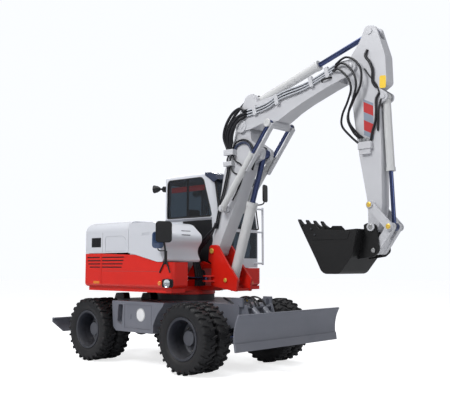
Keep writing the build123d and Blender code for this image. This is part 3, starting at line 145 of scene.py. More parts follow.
# Chassis: a welded steel box painted slate grey, with the two axles bolted under it, the shafts and
# the knuckles. Paint on steel has faint unevenness from the spray, and dust settles low down.
def build_sprayed_surface():
    """Sprayed or moulded surface: mottled colour, uneven gloss, fine skin, and dust on low upward faces."""
    tree = bpy.data.node_groups.new("sprayed_surface", "ShaderNodeTree")
    for label, kind, value in (
            ("Colour", "Color", (0.5, 0.5, 0.5, 1)), ("Dust Colour", "Color", (0.32, 0.29, 0.25, 1)),
            ("Roughness", "Float", 0.4), ("Mottle", "Float", 0.05), ("Grain", "Float", 300.0),
            ("Dust", "Float", 0.0)):
        socket = tree.interface.new_socket(name=label, in_out="INPUT", socket_type="NodeSocket" + kind)
        socket.default_value = value
    for label, kind in (("Colour", "Color"), ("Roughness", "Float"), ("Height", "Float")):
        tree.interface.new_socket(name=label, in_out="OUTPUT", socket_type="NodeSocket" + kind)
    given = tree.nodes.new("NodeGroupInput").outputs
    made = tree.nodes.new("NodeGroupOutput")

    def outputs(kind, sockets, **settings):
        return add_node(tree, kind, sockets, **settings).outputs

    def reckoned(operation, *values, clamp=False):
        return outputs("Math", dict(enumerate(values)), operation=operation, use_clamp=clamp)[0]

    place = outputs("TexCoord", {})["Object"]
    broad = outputs("TexNoise", {"Vector": place, "Scale": 3.5, "Detail": 6})["Fac"]
    skin = outputs("TexNoise", {"Vector": place, "Scale": given["Grain"], "Detail": 3})["Fac"]
    swing = reckoned("MULTIPLY_ADD", broad, 2.0, -1.0)
    shade = reckoned("MULTIPLY_ADD", swing, given["Mottle"], 1.0)
    tint = outputs("VectorMath", {0: given["Colour"], "Scale": shade}, operation="SCALE")[0]
    upward = outputs("SeparateXYZ", {0: outputs("NewGeometry", {})["Normal"]})["Z"]
    height = outputs("SeparateXYZ", {0: place})["Z"]
    low = outputs("MapRange", {"Value": height, "From Min": 1.5, "From Max": 0.1})["Result"]
    settled = outputs("MapRange", {"Value": upward, "From Min": -0.6, "From Max": 1.0})["Result"]
    patches = reckoned("MULTIPLY", reckoned("MULTIPLY", low, settled), broad)
    dust = reckoned("MULTIPLY", patches, given["Dust"], clamp=True)
    dusted = outputs("Mix", {"Factor": dust, 6: tint, 7: given["Dust Colour"]}, data_type="RGBA")[2]
    gloss = reckoned("MULTIPLY_ADD", swing, 0.05, given["Roughness"])
    dulled = reckoned("MULTIPLY_ADD", dust, 0.4, gloss, clamp=True)
    feed(made, {"Colour": dusted, "Roughness": dulled, "Height": skin})
    return tree


sprayed_surface = build_sprayed_surface()


def coated(name, colour, roughness=0.4, mottle=0.05, grain=300.0, bump=0.0004, dust=0.0, coat=0.0,
           metallic=0.0, shine=0.5):
    """A finish of one colour with the sprayed surface's unevenness. bump is the skin's depth in metres."""
    material, shader = new_material(name)
    surface = add_node(material.node_tree, "Group",
                       {"Colour": (*colour, 1), "Roughness": roughness, "Mottle": mottle, "Grain": grain,
                        "Dust": dust}, node_tree=sprayed_surface).outputs
    relief = add_node(material.node_tree, "Bump",
                      {"Height": surface["Height"], "Distance": bump, "Strength": 0.6}).outputs["Normal"]
    feed(shader, {"Metallic": metallic, "Coat Weight": coat, "Coat Roughness": 0.08,
                  "Specular IOR Level": shine, "Base Color": surface["Colour"],
                  "Roughness": surface["Roughness"], "Normal": relief})
    return material


def dress(material, *names):
    """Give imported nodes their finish."""
    for name in names:
        for holder in nodes[name].material_slots:
            holder.material = material


def new_piece(name, parts, material, body, slot, smooth=None, edge=0.0, edge_steps=2):
    """A mesh piece from parts of (verts, faces), riding on a body if one is given.

    Edges up to the angle smooth are shaded smoothly. edge is the width of a bevel on the sharp ones.
    """
    verts, faces = [], []
    for part_verts, part_faces in parts:
        faces += [tuple(i + len(verts) for i in face) for face in part_faces]
        verts += part_verts
    mesh = bpy.data.meshes.new(name)
    mesh.from_pydata([tuple(v) for v in verts], [], faces)
    tool = bmesh.new()
    tool.from_mesh(mesh)
    bmesh.ops.recalc_face_normals(tool, faces=tool.faces)
    tool.to_mesh(mesh)
    tool.free()
    mesh.materials.append(material)
    piece = add_object(name, mesh)
    if smooth:
        mesh.shade_smooth()
        mesh.set_sharp_from_angle(angle=radians(smooth))
    if edge:
        rounding = piece.modifiers.new("rounding", "BEVEL")
        rounding.width = edge
        rounding.segments = edge_steps
        rounding.limit_method = "ANGLE"
        rounding.angle_limit = radians(35)
        rounding.harden_normals = bool(smooth)
    if body:
        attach(piece, body)
    return piece


def lathe(profile, steps, place):
    """A profile of (radius, along) turned about the place's own Y axis, as (verts, faces)."""
    verts, faces, width = [], [], len(profile)
    for i in range(steps):
        turn = 2 * pi * i / steps
        verts += [place @ Vector((r * cos(turn), along, r * sin(turn))) for r, along in profile]
        a, b = i * width, (i + 1) % steps * width
        faces += [(a + k, a + k + 1, b + k + 1, b + k) for k in range(width - 1)]
    return verts, faces


def turned(seat, angle, axis="Z"):
    """A frame at a place, turned about an axis."""
    return Matrix.Translation(seat) @ Matrix.Rotation(radians(angle), 4, axis)


def facing(seat, angle):
    """The frame of a round fitting, its own +Y pointing outward at an angle in plan from the front."""
    return turned(seat, angle - 90)


slate = coated("slate_paint", (0.15, 0.16, 0.195), 0.42, 0.1, dust=0.5, coat=0.15)
slate_dark = coated("slate_paint_in_shade", (0.085, 0.092, 0.115), 0.5, 0.12, dust=0.5)
dark_steel = coated("greased_steel", (0.045, 0.047, 0.052), 0.45, 0.2, metallic=0.6, dust=0.4)
# The rods' chrome is coloured dark blue: a painted reflection of a dark surround, put into its base colour.
chrome = coated("hard_chrome_painted_reflection", (0.075, 0.095, 0.2), 0.2, 0.04, grain=60, bump=0.0, metallic=1.0)
dress(slate, "chassis_frame", "tool_box", "step_box", "rear_plate", "blade", "blade_arms", "blade_links",
      "blade_barrels")
dress(slate_dark, "front_axle", "rear_axle", "knuckle_left", "knuckle_right")
dress(dark_steel, "drive_line", "slew_ring", "engine", "hose_junctions")
dress(chrome, "steer_rod", "blade_rods", "swing_rod", "lift_rod", "adjust_rods", "arm_rod", "bucket_rod")
sign_white = coated("sign_white", (0.8, 0.81, 0.82), 0.35, 0.03)
sign_rim = coated("sign_rim", (0.03, 0.03, 0.035), 0.5, 0.1)
tool_box_face = -1.0
sign_place = facing(at(0.088, tool_box_face, 0.76), -90)
sign = lathe([(0.0, 0.0035), (0.094, 0.0035), (0.0975, 0.0025), (0.0975, 0.0)], 48, sign_place)
sign_edge = lathe([(0.0885, 0.0035), (0.0885, 0.0042), (0.0925, 0.0042), (0.0925, 0.0035)], 48, sign_place)
new_piece("round_sign", [sign], sign_white, "chassis", "body_white", smooth=35)
new_piece("round_sign_edge", [sign_edge], sign_rim, "chassis", "black_plastic")

# Rims: pressed and welded steel, two side by side on each hub with a band between them, deeply dished
# towards the outside, with a ring of nuts round the hub's dome. Profiles are (radius, along the axle).
wheel_names = ("front_left", "front_right", "rear_left", "rear_right")
tyre_radius, tyre_half = 0.487, 0.1175
twin_pitch = 0.28
outer_middle = 1.13 - tyre_half


def wheel_place(name, along):
    """The frame of a tyre's middle plane: its own +Y points to the outside of the machine."""
    centre = places["roll_" + name]
    left = "left" in name
    return turned((centre.x, along if left else -along, centre.z), 0 if left else 180)


rim_paint = coated("rim_paint", (0.026, 0.029, 0.04), 0.42, 0.12, dust=0.18, shine=0.4)
hub_paint = coated("hub_paint", (0.07, 0.075, 0.092), 0.45, 0.15, dust=0.25)
nut_steel = coated("zinc_plate", (0.42, 0.41, 0.38), 0.35, 0.1, metallic=0.9)
rim_section = [(0.258, -0.098), (0.292, -0.1), (0.296, -0.096), (0.296, -0.089), (0.27, -0.0885),
               (0.2688, 0.0), (0.27, 0.0885), (0.296, 0.089), (0.296, 0.096), (0.292, 0.1),
               (0.262, 0.098), (0.256, 0.085), (0.244, 0.05), (0.242, 0.0), (0.242, -0.05),
               (0.256, -0.085), (0.258, -0.098)]
dish_section = [(0.244, 0.045), (0.243, -0.02), (0.238, -0.036), (0.222, -0.045), (0.17, -0.048),
                (0.15, -0.052), (0.15, -0.04), (0.14, -0.03), (0.14, 0.012), (0.132, 0.024),
                (0.108, 0.03), (0.104, 0.036), (0.104, 0.1), (0.097, 0.108), (0.03, 0.112), (0.0, 0.112)]
back_section = [(0.243, -0.055), (0.236, -0.062), (0.15, -0.064), (0.1395, -0.1), (0.1395, -0.195),
                (0.062, -0.197)]
nut_section = [(0.02, 0.0), (0.02, 0.003), (0.0135, 0.003), (0.0135, 0.019), (0.0105, 0.022), (0.0, 0.022)]
band_outer, band_inner, band_half = 0.2545, 0.2425, 0.1
nut_ring, nut_seat, nut_count = 0.192, -0.048, 10
rim_steps, hub_steps = 72, 64
for name in wheel_names:
    outer, inner = wheel_place(name, outer_middle), wheel_place(name, outer_middle - twin_pitch)
    between = wheel_place(name, outer_middle - twin_pitch / 2)
    rings = [lathe(rim_section, rim_steps, outer), lathe(rim_section, rim_steps, inner)]
    rings += [lathe([(radius, band_half), (radius, -band_half)], rim_steps, between)
              for radius in (band_outer, band_inner)]
    rim = new_piece("rim_pair_" + name, rings, rim_paint, "wheel_" + name, "rim_grey", smooth=40)
    discs = [lathe(dish_section, hub_steps, between), lathe(back_section, hub_steps, between)]
    new_piece("hub_" + name, discs, hub_paint, "wheel_" + name, "rim_grey", smooth=40)
    nuts = []
    for i in range(nut_count):
        turn = 2 * pi * i / nut_count
        seat = Matrix.Translation((nut_ring * cos(turn), nut_seat, nut_ring * sin(turn)))
        nuts.append(lathe(nut_section, 6, between @ seat))
    new_piece("nuts_" + name, nuts, nut_steel, "wheel_" + name, "rim_grey")
    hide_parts("rims_" + name)

# Tyres: black rubber with staggered chevron lugs that run over the shoulders. The lugs are moulded in one
# piece with the carcass, with a little earth left between them.
rubber = coated("tyre_rubber", (0.0085, 0.009, 0.011), 0.55, 0.3, grain=90, bump=0.0015, dust=0.12,
                shine=0.35)
carcass = [(0.2695, -0.086), (0.3, -0.09), (0.31, -0.1), (0.345, -0.1145), (0.385, -0.117),
           (0.425, -0.1135), (0.448, -0.106), (0.46, -0.09), (0.466, -0.05), (0.467, 0.0)]
carcass += [(r, -y) for r, y in reversed(carcass[:-1])]
lug_count = 26
lug_rounding = 0.004
lug_rows = [(0.1165, 0.418, 0.424, -0.024, 0.016), (0.1172, 0.44, 0.472, -0.023, 0.017),
            (0.106, 0.446, 0.4835, -0.02, 0.018), (0.06, 0.455, 0.4868, -0.006, 0.03),
            (0.006, 0.46, 0.487, 0.012, 0.044)]


def lug(turn, side, place):
    """One lug, in rows from the shoulder to the middle: (across, low radius, high radius, from, to)."""
    verts = []
    for across, low, high, back, front in lug_rows:
        for radius, share in ((low, 0.0), (high - lug_rounding, 0.06), (high, 0.16), (high, 0.84),
                              (high - lug_rounding, 0.94), (low, 1.0)):
            angle = turn + (back + (front - back) * share) / tyre_radius
            verts.append(place @ Vector((radius * cos(angle), side * across, radius * sin(angle))))
    faces = []
    for row in range(len(lug_rows) - 1):
        a, b = row * 6, row * 6 + 6
        faces += [(a + k, a + k + 1, b + k + 1, b + k) for k in range(5)]
    return verts, faces + [tuple(range(6)), tuple(range(len(verts) - 6, len(verts)))]


for name in wheel_names:
    parts = []
    for along in (outer_middle, outer_middle - twin_pitch):
        place = wheel_place(name, along)
        parts.append(lathe(carcass, 96, place))
        for i in range(lug_count):
            parts += [lug(2 * pi * (i + lag) / lug_count, side, place) for side, lag in ((1, 0.0), (-1, 0.5))]
    tyres = new_piece("tyres_with_lugs_" + name, parts, rubber, "wheel_" + name, "tyre", smooth=38)
    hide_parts("tyres_" + name)

# Upper body: sprayed steel skirts and a cast counterweight in red, under moulded white covers. The louvres
# and slots are pressed through; black boxes sit inside them as painted shade for the dark behind them.
# A dark grille lets air in beside the hood door.
red = coated("red_paint", (0.66, 0.014, 0.006), 0.36, 0.06, dust=0.05, coat=0.15, shine=0.35)
white = coated("white_paint", (0.6, 0.615, 0.655), 0.3, 0.03, coat=0.4)
black_plastic = coated("black_plastic", (0.0065, 0.0068, 0.0085), 0.42, 0.15, grain=500, shine=0.35)
seam_grey = coated("seam_shadow", (0.1, 0.1, 0.105), 0.7, 0.1, shine=0.2)
dress(red, "upper_frame", "counterweight", "skirt_left", "skirt_right")
dress(white, "engine_hood", "right_cover")
body_half = 1.13


def span(low, high, side):
    """A span of y on the left (side 1) or on the right (side -1), in rising order."""
    return (low, high) if side > 0 else (-high, -low)


def cuboid(x, y, z, place=at):
    """A box between pairs of x, y and z, as (verts, faces)."""
    verts = [place(a, b, c) for a in x for b in y for c in z]
    return verts, [(0, 1, 3, 2), (4, 6, 7, 5), (0, 4, 5, 1), (2, 3, 7, 6), (0, 2, 6, 4), (1, 5, 7, 3)]


def twins(x, y, z):
    """A box on the right side and its like on the left."""
    return [cuboid(x, span(*y, side), z) for side in (-1, 1)]


def band(inner, outer, z_low, z_high, start, sweep):
    """A curved bar about the slewing axis, between two radii and two heights."""
    verts, faces, steps = [], [], 14
    for i in range(steps + 1):
        turn = radians(start + sweep * i / steps)
        verts += [at(r * cos(turn), r * sin(turn), z) for r, z in
                  ((inner, z_low), (outer, z_low), (outer, z_high), (inner, z_high))]
    for i in range(steps):
        a, b = 4 * i, 4 * i + 4
        faces += [(a + k, a + (k + 1) % 4, b + (k + 1) % 4, b + k) for k in range(4)]
    return verts, faces + [(0, 1, 2, 3), tuple(len(verts) - 4 + k for k in range(4))]


def black_trim(name, parts, **shading):
    """A black piece on the upper body: moulded trim, and painted shade in the louvres and slots."""
    return new_piece(name, parts, black_plastic, "upper", "black_plastic", **shading)


# Painted shade: black boxes sunk in the louvres and in the counterweight's slots stand for the dark inside
# them.
louvre_depth, louvre_half, louvre_top = (body_half - 0.0115, body_half - 0.0035), 0.0085, 1.61
louvres = []
for z, rear in ((louvre_top, -1.08), (1.56, -1.08), (1.51, -1.06), (1.46, -1.02)):
    height = (z - louvre_half, z + louvre_half)
    front = -0.76 if z == louvre_top else -0.74
    louvres += twins((rear, front), louvre_depth, height)
    louvres.append(cuboid((-0.701, -0.156 - (louvre_top - z) * 0.4), span(*louvre_depth, -1), height))
black_trim("louvre_painted_shade", louvres)
slots = [band(1.542, 1.575, z - 0.0215, z + 0.0215, start, 15) for z in (1.35, 1.448, 1.546)
         for start in (208, 137)]
black_trim("counterweight_slot_painted_shade", slots)
grille = twins((-0.975, -0.735), (body_half - 0.001, body_half + 0.002), (1.768, 1.915))
for z in (1.785, 1.804, 1.823, 1.842, 1.861, 1.88, 1.899):
    grille += twins((-0.968, -0.742), (body_half + 0.001, body_half + 0.006), (z - 0.003, z + 0.003))
black_trim("hood_grilles", grille)
seam_depth = (body_half - 0.002, body_half + 0.0004)
seams = twins((-0.694, -0.69), seam_depth, (1.69, 1.99))
seams.append(cuboid((-0.7, 0.64), span(*seam_depth, -1), (1.399, 1.402)))
new_piece("panel_seams", seams, seam_grey, "upper", "body_red")
vents = [cuboid((0.676, 0.694), (-0.752, -0.572), (1.978, 1.994)),
         cuboid((0.741, 0.757), (-0.802, -0.632), (1.92, 1.932))]
new_piece("cover_vents", vents, seam_grey, "upper", "black_plastic", edge=0.003)
lock_place = facing(at(-0.165, -body_half + 0.008, 1.8), -90)
black_trim("hood_lock", [lathe([(0.022, 0.0), (0.022, 0.004), (0.015, 0.006), (0.0, 0.006)], 28, lock_place)],
           smooth=40)


# Lamps: round headlamps in the front corners with a bright bowl behind clear plastic, amber indicators
# and side reflectors, and two adjustable work lamps on stalks at the cab's rear edge.
def glazing(name, tint):
    """Clear or tinted sheet."""
    material, shader = new_material(name)
    feed(shader, {"Base Color": (*tint, 1), "Roughness": 0.03, "Transmission Weight": 1.0, "IOR": 1.45})
    return material


def rounded(corners):
    """A closed outline with each corner (u, v, radius) rounded by an arc of a few points."""
    points, steps = [], 5
    for i, (u, v, radius) in enumerate(corners):
        corner = Vector((u, v))
        before = (Vector(corners[i - 1][:2]) - corner).normalized()
        after = (Vector(corners[(i + 1) % len(corners)][:2]) - corner).normalized()
        half = before.angle(after) / 2
        reach = radius / max(sin(half) / cos(half), 1e-6)
        middle = corner + (before + after).normalized() * radius / sin(half)
        first, last = corner + before * reach - middle, corner + after * reach - middle
        turn = first.angle_signed(last)
        for k in range(steps + 1):
            share = turn * k / steps
            points.append((middle.x + first.x * cos(share) + first.y * sin(share),
                           middle.y - first.x * sin(share) + first.y * cos(share)))
    return points


def rounded_box(u, v, radius):
    """A rounded outline between pairs of u and v."""
    return rounded([(u[0], v[0], radius), (u[1], v[0], radius), (u[1], v[1], radius), (u[0], v[1], radius)])


def plate(outline, low, high, place):
    """A flat plate between two depths. place turns (depth, u, v) into a point."""
    count = len(outline)
    verts = [place(depth, u, v) for depth in (low, high) for u, v in outline]
    faces = [tuple(range(count)), tuple(range(count, 2 * count))]
    return verts, faces + [(k, (k + 1) % count, count + (k + 1) % count, count + k) for k in range(count)]


def within(matrix):
    """A way to put the points of a turned frame in place."""
    return lambda *point: matrix @ Vector(point)


def tube(route, radius, sides=10, closed=False, spans=1):
    """A round tube along a route, smoothed where it has several spans between its places."""
    route = [at(*place) for place in route]
    line = route
    if spans > 1:
        ends = [route[0] * 2 - route[1], *route, route[-1] * 2 - route[-2]]
        line = []
        for i in range(1, len(ends) - 2):
            a, b, c, d = ends[i - 1:i + 3]
            for k in range(spans):
                t = k / spans
                line.append(0.5 * ((2 * b) + (c - a) * t + (2 * a - 5 * b + 4 * c - d) * t * t
                                   + (3 * b - a - 3 * c + d) * t ** 3))
        line.append(route[-1])
    count = len(line)
    verts, faces, across = [], [], None
    for i, middle in enumerate(line):
        before = line[i - 1] if i or closed else middle
        after = line[(i + 1) % count] if i < count - 1 or closed else middle
        along = (after - before).normalized()
        if across is None:
            across = along.orthogonal().normalized()
        across = (across - along * across.dot(along)).normalized()
        up = along.cross(across)
        verts += [middle + radius * (across * cos(2 * pi * k / sides) + up * sin(2 * pi * k / sides))
                  for k in range(sides)]
    for i in range(count if closed else count - 1):
        a, b = i * sides, (i + 1) % count * sides
        faces += [(a + k, a + (k + 1) % sides, b + (k + 1) % sides, b + k) for k in range(sides)]
    if not closed:
        faces += [tuple(range(sides)), tuple(range(len(verts) - sides, len(verts)))]
    return verts, faces


amber = coated("amber_lens", (0.75, 0.2, 0.015), 0.15, 0.05, coat=0.8)
bowl_chrome = coated("lamp_bowl", (0.8, 0.82, 0.84), 0.1, 0.02, metallic=1.0)
lamp_glass = glazing("lamp_glass", (0.92, 0.95, 0.97))
dress(black_plastic, "lamps")
lamp_height = 1.236
right_lamp = facing(at(0.8056, -1.1234, lamp_height), -70)
left_lamp = facing(at(0.64, 0.696, lamp_height), 0)
bowls, lenses = [], []
for place in (right_lamp, left_lamp):
    bowls.append(lathe([(0.0, 0.0045), (0.02, 0.0048), (0.044, 0.0062), (0.0565, 0.0088)], 40, place))
    lenses.append(lathe([(0.0, 0.0142), (0.02, 0.0136), (0.042, 0.0116), (0.0565, 0.0092)], 40, place))
bezel_line = rounded_box((-0.088, 0.088), (-0.06, 0.06), 0.03)
bezel = plate(bezel_line, -0.016, -0.001, within(right_lamp @ Matrix.Rotation(radians(90), 4, "Z")))
black_trim("headlamp_bezel", [bezel], edge=0.003)
work_heads = []
work_shell = [(0.0, -0.035), (0.034, -0.03), (0.056, 0.01), (0.068, 0.06), (0.07, 0.078), (0.063, 0.078),
              (0.06, 0.07)]
work_height = 2.795
for y, angle in ((0.145, 205), (1.1, 155)):
    place = facing(at(-0.86, y, work_height), angle)
    bowls.append(lathe([(0.0, 0.05), (0.04, 0.056), (0.062, 0.072)], 32, place))
    lenses.append(lathe([(0.0, 0.084), (0.035, 0.082), (0.062, 0.074)], 32, place))
    work_heads.append(lathe(work_shell, 32, place))
work_heads += [tube([(-0.76, y, 2.79), (-0.836, head_y, work_height)], 0.017, 12)
               for y, head_y in ((0.195, 0.16), (1.05, 1.085))]
black_trim("work_lamp_heads", work_heads, smooth=50)
new_piece("lamp_bowls", bowls, bowl_chrome, "upper", "chrome_rod", smooth=50)
new_piece("lamp_lenses", lenses, lamp_glass, "upper", "window_glass", smooth=50)
ambers = twins((-0.914, -0.758), (body_half - 0.001, body_half + 0.003), (1.205, 1.245))
indicator = [(0.034, -0.004), (0.034, 0.01), (0.026, 0.016), (0.0, 0.019)]
ambers += [lathe(indicator, 28, facing(at(0.655, -body_half, lamp_height), -90)),
           lathe(indicator, 28, facing(at(0.638, 0.86, 1.205), 0))]
new_piece("amber_lenses", ambers, amber, "upper", "window_glass", edge=0.0015, smooth=40)

# Cab: welded from pressed steel sections, white outside, with bonded dark blue-grey panes held by a
# black rubber seal. A black apron covers the right wall below the pane, and a visor shades the screen.
dress(white, "cab_shell", "cab_roof", "cab_door")
cab_glass = glazing("tinted_glass", (0.23, 0.29, 0.34))
dress(cab_glass, "cab_glass", "door_glass")
seal_rubber = coated("seal_rubber", (0.012, 0.012, 0.013), 0.6, 0.1, grain=700)
sill_grey = coated("sill_grey", (0.22, 0.23, 0.26), 0.4, 0.08)
visor_blue = coated("visor_plastic", (0.02, 0.028, 0.06), 0.18, 0.05, coat=0.6)
cab_rear, cab_front, cab_right, cab_left = -0.67, 0.62, 0.125, 1.12
cab_kink, cab_roof_top, cab_lean = 2.05, 2.97, 0.15
pane_low, pane_high = 2.265, 2.86


def screen_x(z):
    """The cab's front face at a height."""
    return cab_front - cab_lean * max(0.0, (z - cab_kink) / (cab_roof_top - cab_kink))


def side_plate(outline, y_low, y_high):
    """A flat plate drawn in side view as (x, z), between two values of y."""
    return plate(outline, y_low, y_high, lambda y, x, z: at(x, y, z))


right_pane = rounded([(-0.6, pane_low, 0.03), (-0.59, 2.905, 0.07), (0.255, 2.9, 0.1),
                      (0.45, pane_low, 0.03)])
left_pane = rounded_box((-0.59, -0.39), (pane_low, pane_high), 0.02)
rear_pane = rounded_box((0.235, 1.01), (pane_low, pane_high), 0.03)
screen = rounded_box((0.175, 1.07), (2.08, pane_high), 0.02)
seals = [tube([(u, cab_right + 0.006, v) for u, v in right_pane], 0.012, 8, closed=True),
         tube([(u, cab_left - 0.006, v) for u, v in left_pane], 0.01, 8, closed=True),
         tube([(cab_rear + 0.006, u, v) for u, v in rear_pane], 0.012, 8, closed=True),
         tube([(screen_x(v) - 0.004, u, v) for u, v in screen], 0.012, 8, closed=True)]
new_piece("window_seals", seals, seal_rubber, "upper", "black_plastic", smooth=60)
apron = [(-0.215, 2.175), (-0.215, 2.205), (0.452, 2.205), (0.474, 1.9), (0.474, 1.475), (0.1, 1.475),
         (0.01, 1.8), (0.01, 2.1)]
black_trim("cab_apron", [side_plate(apron, cab_right - 0.002, cab_right + 0.001)])
sill = cuboid((-0.64, 0.455), (cab_right - 0.008, cab_right + 0.001), (2.208, 2.246))
new_piece("cab_sill", [sill], sill_grey, "upper", "black_plastic", edge=0.003, smooth=40)
divider = [cuboid((-0.15, -0.115), (cab_right + 0.022, cab_right + 0.044), (2.27, 2.9)),
           cuboid((-0.6, 0.42), (cab_right + 0.022, cab_right + 0.04), (2.268, 2.29))]
black_trim("window_divider", divider, edge=0.003, smooth=40)
blind_cloth_painted_glow = coated("blind_cloth_painted_glow", (0.8, 0.075, 0.07), 0.8, 0.2, grain=900, bump=0.001)
# Painted light: the blind's cloth glows faintly through an emission, though it is no lamp.
feed(blind_cloth_painted_glow.node_tree.nodes["Principled BSDF"],
     {"Emission Color": (0.8, 0.06, 0.06, 1), "Emission Strength": 0.3})
blind = cuboid((-0.56, 0.23), (cab_right + 0.06, cab_right + 0.066), (2.7, 2.79))
new_piece("rolled_blind", [blind], blind_cloth_painted_glow, "upper", "seat_black", edge=0.002)
visor_top = [(0.3, 2.9705), (0.44, 2.962), (0.52, 2.935), (0.58, 2.845)]
visor_sheet = visor_top + [(0.568, 2.84), (0.505, 2.918), (0.436, 2.945), (0.3, 2.955)]
visor_cheek = visor_top + [(0.49, 2.8), (0.3, 2.925)]
visor_right, visor_left, cheek_thick = 0.135, 1.11, 0.017
visor = [side_plate(visor_sheet, visor_right, visor_left),
         side_plate(visor_cheek, visor_right - cheek_thick, visor_right),
         side_plate(visor_cheek, visor_left, visor_left + cheek_thick)]
new_piece("sun_visor", visor, visor_blue, "upper", "black_plastic", edge=0.002, smooth=50)
wiper_y, wiper_z = 0.62, 2.1
wiper_hub = facing(at(screen_x(wiper_z) - 0.002, wiper_y, wiper_z), 0)
wiper = [tube([(screen_x(z) + 0.016, y, z) for y, z in ((wiper_y, wiper_z), (0.58, 2.35), (0.5, 2.66))],
              0.007, 8, spans=4),
         tube([(screen_x(z) + 0.01, y, z) for y, z in ((0.42, 2.3), (0.6, 2.78))], 0.006, 8),
         lathe([(0.024, 0.0), (0.024, 0.02), (0.014, 0.026), (0.0, 0.026)], 20, wiper_hub)]
black_trim("wiper", wiper, smooth=50)
handle_height, handle_foot = (2.02, 2.042), (cab_left - 0.004, cab_left + 0.014)
handle = [cuboid((-0.02, 0.11), (cab_left + 0.012, cab_left + 0.03), handle_height),
          cuboid((-0.02, 0.0), handle_foot, handle_height),
          cuboid((0.09, 0.11), handle_foot, handle_height)]
new_piece("door_handle", handle, black_plastic, "cab_door", "black_plastic", edge=0.004, smooth=40)

# Seat: a sprung suspension seat in black cloth, foam inside, with side bolsters and a head pad. Beside it
# are the two consoles with a lever on each, and before it the steering column.
seat_cloth = coated("seat_cloth", (0.03, 0.03, 0.034), 0.88, 0.25, grain=900, bump=0.002)
dress(black_plastic, "consoles", "steering_column")
seat_y = (cab_right + cab_left) / 2
back_lean = radians(-84)


def cushion(middle, half, square=0.42, steps=36, dent=0.0, lean=0.0):
    """A crowned pad: a rounded block, with its upper face dented along the middle."""
    verts, faces, rows = [], [], steps // 2

    def bent(value):
        return (abs(value) ** square) * (1 if value > 0 else -1)

    for i in range(rows + 1):
        lift = -pi / 2 + pi * i / rows
        for k in range(steps):
            turn = 2 * pi * k / steps
            x, y, z = bent(cos(lift)) * bent(cos(turn)), bent(cos(lift)) * bent(sin(turn)), bent(sin(lift))
            z -= dent * max(z, 0) * max(0.0, 1 - (y * 1.6) ** 2)
            place = Vector((half[0] * x, half[1] * y, half[2] * z))
            place.rotate(Matrix.Rotation(lean, 3, "Y"))
            verts.append(middle + place)
    for i in range(rows):
        for k in range(steps):
            a, b = i * steps + k, i * steps + (k + 1) % steps
            faces.append((a, b, b + steps, a + steps))
    return verts, faces


pads = [("seat_base_pad", 0.7, at(-0.2, seat_y, 1.8), (0.255, 0.238, 0.072), 0.22, 0.0),
        ("seat_back_pad", 0.7, at(-0.455, seat_y, 2.08), (0.255, 0.226, 0.06), 0.3, back_lean),
        ("seat_head_pad", 0.8, at(-0.47, seat_y, 2.385), (0.06, 0.125, 0.04), 0.0, back_lean)]
for name, fill, middle, half, dent, lean in pads:
    pad = cushion(middle, half, dent=dent, lean=lean)
    piece = new_piece(name, [pad], seat_cloth, "upper", "seat_black", smooth=70)
    if name == "seat_base_pad":
        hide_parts("seat")
under_seat = [cuboid(x, (seat_y - half, seat_y + half), z) for x, half, z in
              (((-0.4, -0.04), 0.17, (1.497, 1.56)), ((-0.42, -0.02), 0.19, (1.69, 1.742)),
               ((-0.38, -0.06), 0.15, (1.56, 1.69)))]
black_trim("seat_frame", under_seat, edge=0.01, smooth=40)
knobs = [cushion(at(0.07, seat_y + side * 0.3125, 2.225), (0.026, 0.026, 0.045), square=0.8, steps=20)
         for side in (-1, 1)]
black_trim("lever_knobs", knobs, smooth=70)

# Mirrors: moulded housings on bent tube, two at the right front and one by the cab's left corner, each
# with a silvered glass facing back. The small one's housing is coloured dark blue, a painted reflection of
# the bluish light on its face. The handrail before the cab is white tube.
dress(white, "handrail")
silvered = coated("mirror_glass", (0.42, 0.5, 0.66), 0.05, 0.02, grain=20, bump=0.0, metallic=1.0)
# Painted reflection: the small housing's dark blue stands for the bluish reflection on its face.
shell_painted_reflection = coated("mirror_shell_painted_reflection", (0.05, 0.085, 0.17), 0.25, 0.06, coat=0.4)


def turned_plate(middle, size, angle, corner=0.048):
    """An upright round-cornered plate of (depth, width, height) turned in plan about its own middle."""
    depth, width, height = size
    line = rounded_box((-width / 2, width / 2), (-height / 2, height / 2), corner)
    return plate(line, -depth / 2, depth / 2, within(turned(middle, angle)))


large_mirror = (at(0.778, -1.172, 1.955), (0.032, 0.24, 0.3), -20)
small_mirror = (at(0.69, -1.205, 1.842), (0.026, 0.17, 0.235), -20)
left_mirror = (at(0.65, 1.2, 2.69), (0.028, 0.2, 0.29), 20)
new_piece("small_mirror_housing", [turned_plate(*small_mirror)], shell_painted_reflection, "upper", "black_plastic",
          edge=0.008, smooth=50, edge_steps=3)
housing = black_trim("mirror_housings", [turned_plate(*large_mirror), turned_plate(*left_mirror)],
                     edge=0.008, smooth=50, edge_steps=3)
glass_thick, glass_margin = 0.002, 0.03
glasses = []
for middle, (depth, width, height), angle in (large_mirror, small_mirror, left_mirror):
    back = Matrix.Rotation(radians(angle), 4, "Z") @ Vector((-depth / 2 - 0.0005, 0, 0))
    glasses.append(turned_plate(middle + back, (glass_thick, width - glass_margin, height - glass_margin),
                                angle, 0.022))
new_piece("mirror_glasses", glasses, silvered, "upper", "chrome_rod")
leg_x, leg_y = 0.79, -body_half - 0.014
legs = [tube([(0.778, -1.172, 1.83), (leg_x, -1.16, 1.74), (leg_x, leg_y, 1.64)], 0.014, 12, spans=4),
        tube([(0.69, -1.205, 1.74), (0.705, -1.195, 1.695), (leg_x, -1.15, 1.69)], 0.009, 12, spans=4),
        tube([(leg_x, leg_y, 1.69), (leg_x, leg_y, 1.5)], 0.021, 12),
        tube([(0.78, leg_y, 1.56), (0.66, leg_y, 1.385)], 0.01, 12),
        tube([(0.8, leg_y, 1.56), (0.88, leg_y, 1.385)], 0.01, 12),
        tube([(0.64, 1.2, 2.56), (0.6, 1.17, 2.505), (0.39, 1.15, 2.5)], 0.012, 12, spans=5)]
mirror_legs = black_trim("mirror_legs", legs, smooth=50)
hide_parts("mirrors")
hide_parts("mirrors")

